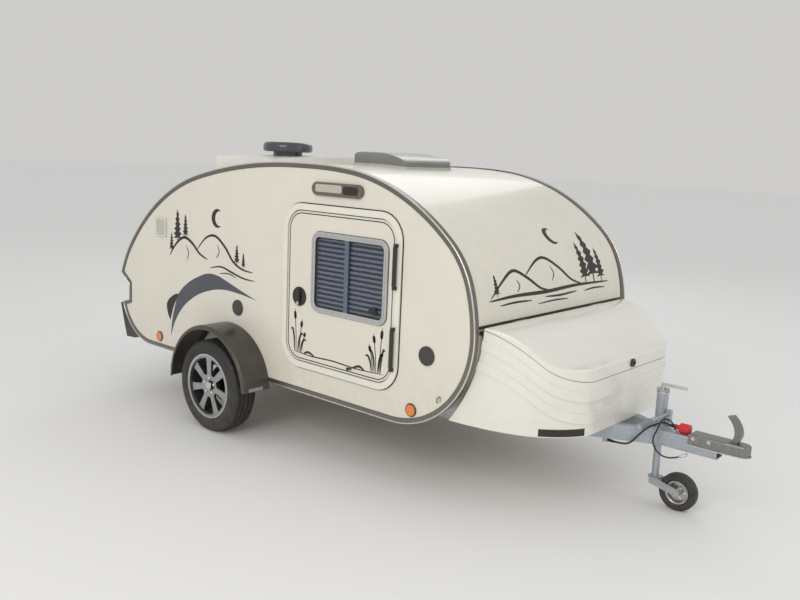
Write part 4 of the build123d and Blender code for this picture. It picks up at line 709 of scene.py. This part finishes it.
# Prints on the side walls, the doors and the nose
STRIPE = crescent(
    [(-1.517, 0.47), (-1.505, 0.565), (-1.48, 0.659), (-1.421, 0.785), (-1.31, 0.874),
     (-1.16, 0.942), (-1.075, 0.962), (-0.99, 0.958), (-0.918, 0.94), (-0.765, 0.897),
     (-0.598, 0.852)],
    [(-0.715, 0.867), (-0.865, 0.877), (-0.97, 0.872), (-1.075, 0.851), (-1.19, 0.812),
     (-1.295, 0.756), (-1.37, 0.7), (-1.433, 0.631), (-1.48, 0.56)])
LEAF = crescent(
    [(-1.523, 0.582), (-1.552, 0.625), (-1.566, 0.681), (-1.552, 0.713), (-1.528, 0.737),
     (-1.468, 0.771), (-1.409, 0.783)],
    [(-1.448, 0.74), (-1.48, 0.69), (-1.502, 0.64)])
HILLS = [
    stroke(0.02, (-1.53, 1.03), (-1.45, 1.12), (-1.36, 1.17), (-1.27, 1.14), (-1.19, 1.08), (-1.1, 1.05)),
    stroke(0.018, (-1.22, 1.1), (-1.12, 1.19), (-1.02, 1.21), (-0.92, 1.15), (-0.84, 1.07), (-0.75, 1.03),
           (-0.64, 1.02)),
    stroke(0.013, (-1.08, 1), (-0.96, 1.02), (-0.86, 1), (-0.74, 0.975), (-0.62, 0.97)),
    stroke(0.008, (-0.98, 0.975), (-0.88, 0.985), (-0.8, 0.965)),
    stroke(0.008, (-1.34, 1.12), (-1.31, 1.07), (-1.33, 1.02)),
    stroke(0.008, (-1, 1.16), (-0.98, 1.11), (-1.01, 1.07)),
    fir(-1.435, 1.125, 0.225), fir(-1.345, 1.165, 0.16), fir(-1.505, 1.06, 0.13),
    fir(-0.8, 1.05, 0.13), fir(-0.735, 1.035, 0.1),
    moon(-1, 1.325, 0.06)]
BANK_Z = 0.608    # foot of the reeds and leaves
REEDS = [
    stroke(0.008, (-0.25, 0.612), (-0.1, 0.603), (0.08, 0.609), (0.26, 0.602), (0.475, 0.61)),
    stroke(0.014, (-0.16, 0.608), (-0.12, 0.622), (-0.07, 0.606)),
    stroke(0.014, (0.24, 0.604), (0.29, 0.62), (0.33, 0.604))]
for x, height, bend in (
        (-0.225, 0.255, -0.018), (-0.2, 0.2, 0.022), (-0.178, 0.13, 0.028),
        (0.392, 0.15, -0.034), (0.415, 0.215, -0.026), (0.438, 0.255, 0.014)):
    REEDS += reed(x, BANK_Z, height, bend)
for x, height, bend in (
        (-0.238, 0.15, -0.035), (-0.212, 0.125, 0.045), (-0.19, 0.09, 0.05), (0.382, 0.095, -0.05),
        (0.404, 0.13, -0.045), (0.428, 0.12, 0.038), (0.446, 0.15, 0.03)):
    REEDS.append(blade(x, BANK_Z, height, bend))
LAKE = [
    stroke(0.02, (-0.64, 1.075), (-0.4, 1.083), (-0.1, 1.078), (0.22, 1.086), (0.6, 1.078)),
    stroke(0.011, (-0.55, 1.045), (-0.4, 1.05), (-0.25, 1.044)),
    stroke(0.012, (-0.12, 1.052), (0.04, 1.046), (0.22, 1.053)),
    stroke(0.01, (0.3, 1.046), (0.42, 1.052), (0.55, 1.046)),
    stroke(0.009, (-0.2, 1.02), (-0.02, 1.024), (0.12, 1.018)),
    stroke(0.018, (-0.62, 1.085), (-0.5, 1.165), (-0.38, 1.215), (-0.27, 1.17), (-0.16, 1.105),
           (-0.08, 1.086)),
    stroke(0.018, (-0.28, 1.18), (-0.15, 1.25), (-0.05, 1.265), (0.06, 1.205), (0.17, 1.125), (0.28, 1.09)),
    stroke(0.008, (-0.37, 1.165), (-0.35, 1.13), (-0.38, 1.1)),
    stroke(0.008, (-0.02, 1.215), (0, 1.17), (-0.03, 1.13)),
    moon(0.14, 1.4, 0.06),
    fir(0.335, 1.088, 0.255), fir(0.43, 1.086, 0.33), fir(0.52, 1.084, 0.21), fir(-0.56, 1.09, 0.12)]
for tag, s in SIDES:
    picture("stripe_" + tag, [STRIPE], lambda u, v: (u, s * 0.7806, v), print_slate)
picture("leaf", [LEAF], lambda u, v: (u, -0.7804, v), print_dark)
picture("hills", HILLS, lambda u, v: (u, -0.7805, v), print_dark)
picture("reeds", REEDS, lambda u, v: (u, -0.7865, v), print_dark, "door_right")

# Line up the nose: points of the skin, each with its height as measured along it
AHEAD, RISE_FROM, RISE_STEP, PRINT_LIFT = 2, 1, 0.005, 0.0007
rise, along = [], RISE_FROM
for k in range(121):
    spot = land(skin, (AHEAD, 0, RISE_FROM + RISE_STEP * k), (-1, 0, 0), PRINT_LIFT)
    along += (spot - rise[-1][1]).length if rise else 0
    rise.append((along, spot))


def up_the_nose(across, height):
    """Point on the nose at a width and at a height measured along the skin."""
    k = next(i for i in range(1, len(rise)) if rise[i][0] >= height or i == len(rise) - 1)
    (low, below), (high, above) = rise[k - 1], rise[k]
    spot = below.lerp(above, (height - low) / (high - low))
    return spot.x, across, spot.z


picture("lake", LAKE, up_the_nose, print_dark, cut=0.02)

# Blank strip in the place of the label on the front box
STRIP_LEFT, STRIP_RIGHT, STRIP_COLUMNS = -0.622, -0.437, 12
STRIP_EDGES = ((0.457, 0), (0.457, 0.0018), (0.494, 0.0018), (0.494, 0))    # height and lift
box = surface("front_box")
strip = bmesh.new()
rows = []
for k in range(STRIP_COLUMNS + 1):
    y = STRIP_LEFT + (STRIP_RIGHT - STRIP_LEFT) * k / STRIP_COLUMNS
    rows.append([strip.verts.new(land(box, (AHEAD, y, z), (-1, 0, 0), lift)) for z, lift in STRIP_EDGES])
net(strip, rows)
for row in (rows[0], rows[-1]):
    strip.faces.new(row)
solid("blank_strip", strip, black_plastic)

# Small fittings on walls and doors: x and z ranges, corner, place from the middle, thickness, bevel
LAMP_AND_LATCH = (
    ("lamp_lens", (-0.078, 0.128), (1.553, 1.596), 0.012, 0.8015, 0.0022, 0.0008, lens_plastic, "trailer"),
    ("lamp_switch", (0.136, 0.25), (1.548, 1.593), 0.018, 0.8015, 0.0018, 0.0008, black_plastic, "trailer"),
    ("window_latch", (0.35, 0.412), (0.926, 0.952), 0.01, DOOR_Y, 0.009, 0.002, black_plastic, "door_"),
    ("window_lever", (0.372, 0.404), (0.934, 0.968), 0.008, 0.795, 0.0035, 0.0015, black_plastic, "door_"))
CATCH_AND_HOOK = (
    ("catch_plate", (0.188, 0.236), (0.5845, 0.6025), 0.005, DOOR_Y, 0.0025, 0.0006, bright_steel, "door_"),
    ("hook_plate", (0.842, 0.866), (0.55, 0.578), 0.006, WALL_Y, 0.003, 0.0008, bright_steel, "trailer"))
BARREL = [
    (0, 0), (0.0105, 0), (0.0105, 0.002), (0.0085, 0.0028), (0.003, 0.0028), (0.0022, 0.0016), (0, 0.0016)]
KNOB = [
    (0, 0), (0.0075, 0), (0.0075, 0.003), (0.0045, 0.005), (0.0045, 0.01), (0.0085, 0.013),
    (0.009, 0.018), (0.006, 0.021), (0, 0.0215)]
HOOK_X, HOOK_BENDS = 0.854, ((0.782, 0.571), (0.797, 0.571), (0.803, 0.562), (0.801, 0.549), (0.791, 0.546))
REFLECTORS = ((0.67, 0.461, 0.034), (-1.651, 0.446, 0.033))    # x, z and radius
RIM_PROFILE = ((-0.001, 0), (0.003, 0), (0.003, 0.004), (-0.001, 0.008), (-0.0035, 0.0085), (-0.0045, 0.008))
TAB_X = -0.4665    # front face of the fenders' brackets


def plates(rows, tag, s):
    """Plates of one side."""
    for name, x_range, z_range, corner, y, depth, bevel, mat, body in rows:
        outline = round_box(x_range, z_range, corner)
        slab("%s_%s" % (name, tag), outline, s * y, s * depth, mat, sided(body, tag), bevel)


for tag, s in SIDES:
    door, outward = "door_" + tag, (0, s, 0)
    plates(LAMP_AND_LATCH, tag, s)
    turned("lock_barrel_" + tag, BARREL, (-0.206, s * 0.803, 0.902), outward, 28, bright_steel, door)
    turned("catch_knob_" + tag, KNOB, (0.216, s * DOOR_Y, 0.5935), outward, 24, black_plastic, door)
    plates(CATCH_AND_HOOK, tag, s)
    tube("hook_wire_" + tag, [(HOOK_X, s * y, z) for y, z in HOOK_BENDS], 0.0028, lever_steel)
    tab = slab("fender_tab_" + tag, round_box((-0.942, -0.836), (0.33, 0.35), 0.003), 0, 0.0016, galvanised,
               bevel=0.0005)
    tab.data.transform(Matrix(((0, 1, 0, TAB_X), (-s, 0, 0, 0), (0, 0, 1, 0), (0, 0, 0, 1))))
    bolts("fender_screws_" + tag, [(-0.4648, s * y, 0.34) for y in (0.92, 0.858)], (1, 0, 0), 0.005,
          bright_steel)
    rims = bmesh.new()
    for x, z, radius in REFLECTORS:
        turn(rims, [(radius + out, height) for out, height in RIM_PROFILE], (x, s * WALL_Y, z), outward, 40)
    solid("reflector_rims_" + tag, rims, black_plastic)

# Wheels
TREAD_HALF, TREAD_LOW, CROWN = 0.062, 0.0006, 0.0014    # half width, clearance, extra drop at the edges
GROOVES, GROOVE_HALF, GROOVE_DEEP, GROOVE_SLOPE = (-0.045, -0.016, 0.016, 0.045), 0.0042, 0.007, 0.0012
BLOCKS, BLOCK_STEPS = 36, 8
SHOULDER_CUT, RIB_CUT, WALL_CUT, WALL_CUT_FROM = 0.005, 0.0032, 0.0036, 0.279
SIDEWALL = [
    (0.0755, 0.192), (0.077, 0.204), (0.08, 0.212), (0.0845, 0.224), (0.0858, 0.2265), (0.0868, 0.23),
    (0.0872, 0.24), (0.087, 0.2475), (0.0858, 0.25), (0.0858, 0.2525), (0.0852, 0.256), (0.083, 0.266),
    (0.08, 0.273), (0.0762, 0.279), (0.0725, 0.283), (0.07, 0.286), (0.066, 0.2885)]
CAP = [(0, 0), (0.0275, 0), (0.029, 0.0012), (0.029, 0.0055), (0.0265, 0.0078), (0.016, 0.0098), (0, 0.0105)]
WHEEL_BOLTS, BOLT_CIRCLE = 5, 0.0495
VALVE = ((0.938, 0.176), (0.948, 0.172), (0.957, 0.165))    # place from the middle, drop below the axle


def tread_radius(y, k):
    """Radius of the tread at a place across it and a step round it."""
    radius = TYRE_R - TREAD_LOW - CROWN * (abs(y) / TREAD_HALF) ** 2
    if any(abs(y - groove) < GROOVE_HALF for groove in GROOVES):
        return radius - GROOVE_DEEP
    if abs(y) > GROOVES[3] and (k + (4 if y > 0 else 0)) % BLOCK_STEPS == 0:
        return radius - SHOULDER_CUT
    if GROOVES[2] < abs(y) < GROOVES[3] and (k + (2 if y > 0 else 6)) % BLOCK_STEPS == 0:
        return radius - RIB_CUT
    return radius


def tyre(tag, centre_y):
    """Tyre with grooved tread and ribbed sidewalls, inside the solid it stands for."""
    far, near = GROOVE_HALF + GROOVE_SLOPE, GROOVE_HALF - 0.0008
    tread = [TREAD_HALF]
    for groove in reversed(GROOVES):
        tread += [groove + far, groove + near, groove - near, groove - far]
    tread.append(-TREAD_HALF)
    profile = SIDEWALL + [(y, None) for y in tread] + [(-y, r) for y, r in reversed(SIDEWALL)]
    shape = bmesh.new()
    rings = []
    steps = BLOCKS * BLOCK_STEPS
    for k in range(steps):
        angle = 2 * pi * k / steps
        ring = []
        for y, r in profile:
            if r is None:
                r = tread_radius(y, k)
            elif r > WALL_CUT_FROM and (k + (4 if y > 0 else 0)) % BLOCK_STEPS == 0:
                r -= WALL_CUT
            ring.append(shape.verts.new((AXLE_X + r * sin(angle), centre_y + y, TYRE_R + r * cos(angle))))
        rings.append(ring)
    net(shape, rings + rings[:1])
    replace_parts(solid("tread_tyre_" + tag, shape, rubber, "wheel_" + tag), "tyre_" + tag)


for tag, s in SIDES:
    body = "wheel_" + tag
    tyre(tag, s * 0.882)
    turned("centre_cap_" + tag, CAP, (AXLE_X, s * 0.9535, TYRE_R), (0, s, 0), 48, bright_steel, body)
    angles = [2 * pi * k / WHEEL_BOLTS for k in range(WHEEL_BOLTS)]
    bolts("wheel_bolts_" + tag,
          [(AXLE_X + BOLT_CIRCLE * sin(a), s * 0.9475, TYRE_R + BOLT_CIRCLE * cos(a)) for a in angles],
          (0, s, 0), 0.0085, bright_steel, body)
    tube("valve_" + tag, [(AXLE_X, s * y, TYRE_R - below) for y, below in VALVE], 0.0036, seal_rubber, body)

# Hitch
for tag, s in SIDES:
    bolts("coupling_bolts_" + tag, [(x, s * 0.046, 0.452) for x in (1.885, 1.965)], (0, s, 0), 0.0095,
          bright_steel)
bolts("clamp_bolts", [(1.701, 0.0895, z) for z in (0.403, 0.431)], (0, -1, 0), 0.006, bright_steel)
bolts("jockey_axle_nuts", [(1.781, 0.069, 0.1)], (0, -1, 0), 0.0085, bright_steel, "jockey_fork")
GRIP_BORE, GRIP_LOW, GRIP_HIGH, GRIP_LONG, RIB_PITCH = 0.0139, 0.015, 0.0165, 0.135, 0.012
sleeve = [(GRIP_BORE, 0)]
for k in range(11):
    sleeve += [(GRIP_LOW, 0.0005 + RIB_PITCH * k), (GRIP_HIGH, 0.002 + RIB_PITCH * k),
               (GRIP_HIGH, 0.007 + RIB_PITCH * k), (GRIP_LOW, 0.0085 + RIB_PITCH * k)]
sleeve.append((GRIP_BORE, GRIP_LONG))
turned("clamp_grip", sleeve, (1.69, -0.2505, 0.508), (0, 1, 0), 28, grip_grey)
turned("tube_collar", [(0.03, 0), (0.0345, 0.001), (0.0345, 0.01), (0.03, 0.011)], (1.646, 0.105, 0.606),
       (0, 0, 1), 40, bright_steel)
for k, y in enumerate((-0.04, 0.04)):
    tube("weld_%d" % k, [(1.699, y, z) for z in (0.373, 0.4, 0.43, 0.451)], 0.004, galvanised)

# Tail: a round lock on the hatch, and the rim of the sink behind it
LOCK = [(0, -0.002), (0.03, -0.002), (0.03, 0.005), (0.027, 0.008), (0.01, 0.008), (0.009, 0.012), (0, 0.012)]
SINK_RIM = [(0.151, -0.006), (0.1495, 0.001), (0.153, 0.003), (0.16, 0.0022), (0.1625, 0.0002)]
lock_at = land(surface("rear_hatch"), (-3, 0, 0.905), (1, 0, 0), 0)
turned("hatch_lock", LOCK, lock_at, (-0.94, 0, 0.34), 40, black_plastic, "rear_hatch")
counter_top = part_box("galley_counter")[1][2]
turned("sink_rim", SINK_RIM, (SINK_X, SINK_Y, counter_top), (0, 0, 1), 64, bright_steel)

# Blinds: cloth in 14 pleats of two folds, between a top and a bottom rail
FOLDS, PLEAT_DEEP, CLOTH_COLUMNS = 28, 0.009, 12
BLIND_LOW, BLIND_HIGH, BLIND_Y = 0.912, 1.288, 0.7765
RAIL_DEEP, RAIL_TALL, RAIL_Y, RAIL_PAST = 0.01, 0.007, 0.7722, 0.004
CREASE, CREASE_Z = 0.0003, 0.0006    # small waves of the cloth, outwards and upwards
BLIND_HALVES = (("rear", -0.0735, 0.1725, 3), ("front", 0.1775, 0.4465, 0))    # x range, start of the waves


def pleated(x0, x1, s, phase):
    """Cloth folded to and fro over its height."""
    shape = bmesh.new()
    rows = []
    for i in range(FOLDS + 1):
        z = BLIND_LOW + (BLIND_HIGH - BLIND_LOW) * i / FOLDS
        out = PLEAT_DEEP if i % 2 else 0
        row = []
        for j in range(CLOTH_COLUMNS + 1):
            x = x0 + (x1 - x0) * j / CLOTH_COLUMNS
            y = s * (BLIND_Y - out - CREASE * sin(5 * j + 2.3 * i + phase))
            row.append(shape.verts.new((x, y, z + CREASE_Z * sin(1.7 * j + i))))
        rows.append(row)
    net(shape, rows)
    return shape


for tag, s in SIDES:
    door = "door_" + tag
    for half, x0, x1, phase in BLIND_HALVES:
        cloth = solid("blind_%s_%s" % (half, tag), pleated(x0, x1, s, phase), blind_cloth, door, smooth=False)
        rails = bmesh.new()
        for z in (BLIND_LOW - RAIL_PAST, BLIND_HIGH + RAIL_PAST):
            bmesh.ops.create_cube(rails, size=1, matrix=Matrix.Translation(((x0 + x1) / 2, s * RAIL_Y, z))
                                  @ Matrix.Diagonal((x1 - x0, RAIL_DEEP, RAIL_TALL, 1)))
        rail = solid("blind_rails_%s_%s" % (half, tag), rails, window_silver, door, bevel=0.001)
        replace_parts(cloth, "window_blind_" + tag)

# Mattress: blown up as cloth, then quilted and piped
PAD_INSET, PAD_INSET_Z, PAD_CORNER = 0.034, 0.03, 0.055
VOXEL, SWELL_CAP, FILL_FRAMES, PRESSURE = 0.022, 0.014, 20, 4
SEAMS_ACROSS, SEAMS_ALONG, PILLOW_RISE = 0.295, 0.285, 0.006
SEAM_DROP, SEAM_NARROW, SEAM_CURVE = 0.017, 1.25, 2.2


def settled(piece):
    """Mesh of a piece with its modifiers applied."""
    return bpy.data.meshes.new_from_object(piece.evaluated_get(bpy.context.evaluated_depsgraph_get()))


def puffed(shape):
    """Mesh of a pad after its shape is remeshed and swollen by at most the cap."""
    data = bpy.data.meshes.new("pad_start")
    shape.to_mesh(data)
    shape.free()
    pad = link("pad_start", data)
    cells = pad.modifiers.new("cells", "REMESH")
    cells.mode = "VOXEL"
    cells.voxel_size = VOXEL
    mesh = settled(pad)
    pad.modifiers.clear()
    pad.data = mesh
    before = [v.co.copy() for v in mesh.vertices]
    cloth = pad.modifiers.new("fill", "CLOTH")
    cloth.settings.use_pressure = True
    cloth.settings.uniform_pressure_force = PRESSURE
    cloth.settings.effector_weights.gravity = 0
    cloth.point_cache.frame_start = 1
    cloth.point_cache.frame_end = FILL_FRAMES
    for step in range(1, FILL_FRAMES + 1):
        scene.frame_set(step)
    mesh = settled(pad)
    scene.frame_set(1)
    for vert, start in zip(mesh.vertices, before):
        move = vert.co - start
        if move.length > SWELL_CAP:
            vert.co = start + move * (SWELL_CAP / move.length)
    bpy.data.objects.remove(pad)
    return mesh


low_corner, high_corner = (Vector(c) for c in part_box("mattress"))
middle, size = (low_corner + high_corner) / 2, high_corner - low_corner
pad_shape = bmesh.new()
bmesh.ops.create_cube(pad_shape, size=1, matrix=Matrix.Translation(middle)
                      @ Matrix.Diagonal((size.x - PAD_INSET, size.y - PAD_INSET, size.z - PAD_INSET_Z, 1)))
uprights = [e for e in pad_shape.edges if abs(e.verts[0].co.z - e.verts[1].co.z) > 0.05]
bmesh.ops.bevel(pad_shape, geom=uprights, offset=PAD_CORNER, segments=6, profile=0.5, affect="EDGES")
mattress = link("mattress_pad", puffed(pad_shape), cushion_cloth, "trailer")
smoother = mattress.modifiers.new("smooth", "SUBSURF")
smoother.levels = smoother.render_levels = 1
pad_mesh = settled(mattress)
mattress.modifiers.clear()
mattress.data = pad_mesh
for vert in pad_mesh.vertices:
    co = vert.co
    if co.z > middle.z:
        gaps = [abs((place / pitch + 0.5) % 1 - 0.5) * 2
                for place, pitch in ((co.y, SEAMS_ACROSS), (co.x, SEAMS_ALONG))]
        co.z += PILLOW_RISE - SEAM_DROP * sum((1 - min(1, SEAM_NARROW * gap)) ** SEAM_CURVE for gap in gaps)
    co.z = min(max(co.z, low_corner.z + 0.0005), high_corner.z + 0.004)
pad_mesh.shade_smooth()
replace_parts(mattress, "mattress")
pad_tree = BVHTree.FromPolygons([v.co for v in pad_mesh.vertices], [p.vertices for p in pad_mesh.polygons])
around = [(low - 0.05, high + 0.05) for low, high in zip(low_corner, high_corner)]
for name, z in (("top", high_corner.z - 0.024), ("bottom", low_corner.z + 0.02)):
    seam = []
    for x, y in round_box(around[0], around[1], 0.12, 6):
        spot = pad_tree.find_nearest(Vector((x, y, z)))[0]
        seam.append((spot.x, spot.y, z))
    tube("mattress_piping_" + name, seam, 0.004, piping, closed=True)

# Floor and backdrop
FLOOR_HALF, FLOOR_COLOUR, BACKDROP_STRENGTH = 60, (0.8, 0.79, 0.77, 1), 0.77
SKY, SKY_STRENGTH = (0.97, 0.985, 1, 1), 0.76
floor_mesh = bpy.data.meshes.new("floor")
floor_corners = [(FLOOR_HALF * x, FLOOR_HALF * y, 0) for x, y in ((-1, -1), (1, -1), (1, 1), (-1, 1))]
floor_mesh.from_pydata(floor_corners, [], [(0, 1, 2, 3)])
floor_paint = bpy.data.materials.new("floor_paint")
floor_shader = Wiring(floor_paint).tree.nodes["Principled BSDF"].inputs
floor_shader["Base Color"].default_value = FLOOR_COLOUR
floor_shader["Roughness"].default_value = 0.9
floor = link("floor", floor_mesh, floor_paint)

# World: soft light, and the backdrop's colour where it is seen, mirrored or looked through to
scene.world = bpy.data.worlds.new("sky")
air = Wiring(scene.world)
light = air.tree.nodes["Background"]
light.inputs["Color"].default_value = SKY
light.inputs["Strength"].default_value = SKY_STRENGTH
backdrop = air.node("Background", Color=FLOOR_COLOUR, Strength=BACKDROP_STRENGTH)
rays = air.node("LightPath").outputs
seen = air.math("MAXIMUM", rays["Is Camera Ray"], rays["Is Glossy Ray"])
switch = air.node("MixShader", Fac=air.math("MAXIMUM", seen, rays["Is Transmission Ray"]))
air.put(switch.inputs[1], light.outputs["Background"])
air.put(switch.inputs[2], backdrop.outputs["Background"])
air.put(air.tree.nodes["World Output"].inputs["Surface"], switch.outputs["Shader"])

# Lamps: name, place, the point they look at, size, power and colour
for name, at, aim, size, power, colour in (
        ("key", (2.5, -7.5, 4.6), (0, 0, 0.8), 4.5, 230, (1, 0.97, 0.92)),
        ("side", (7, 1.5, 3.6), (0.8, 0, 0.8), 4, 40, (1, 0.98, 0.95)),
        ("back", (-3.5, 5.5, 5.5), (0, 0, 0.8), 3.5, 60, (0.95, 0.97, 1))):
    lamp = bpy.data.lights.new(name, "AREA")
    lamp.size = size
    lamp.energy = power
    lamp.color = colour
    holder = link(name, lamp)
    holder.location = at
    holder.rotation_euler = (Vector(aim) - Vector(at)).to_track_quat("-Z", "Y").to_euler()

scene.view_settings.view_transform = "Standard"
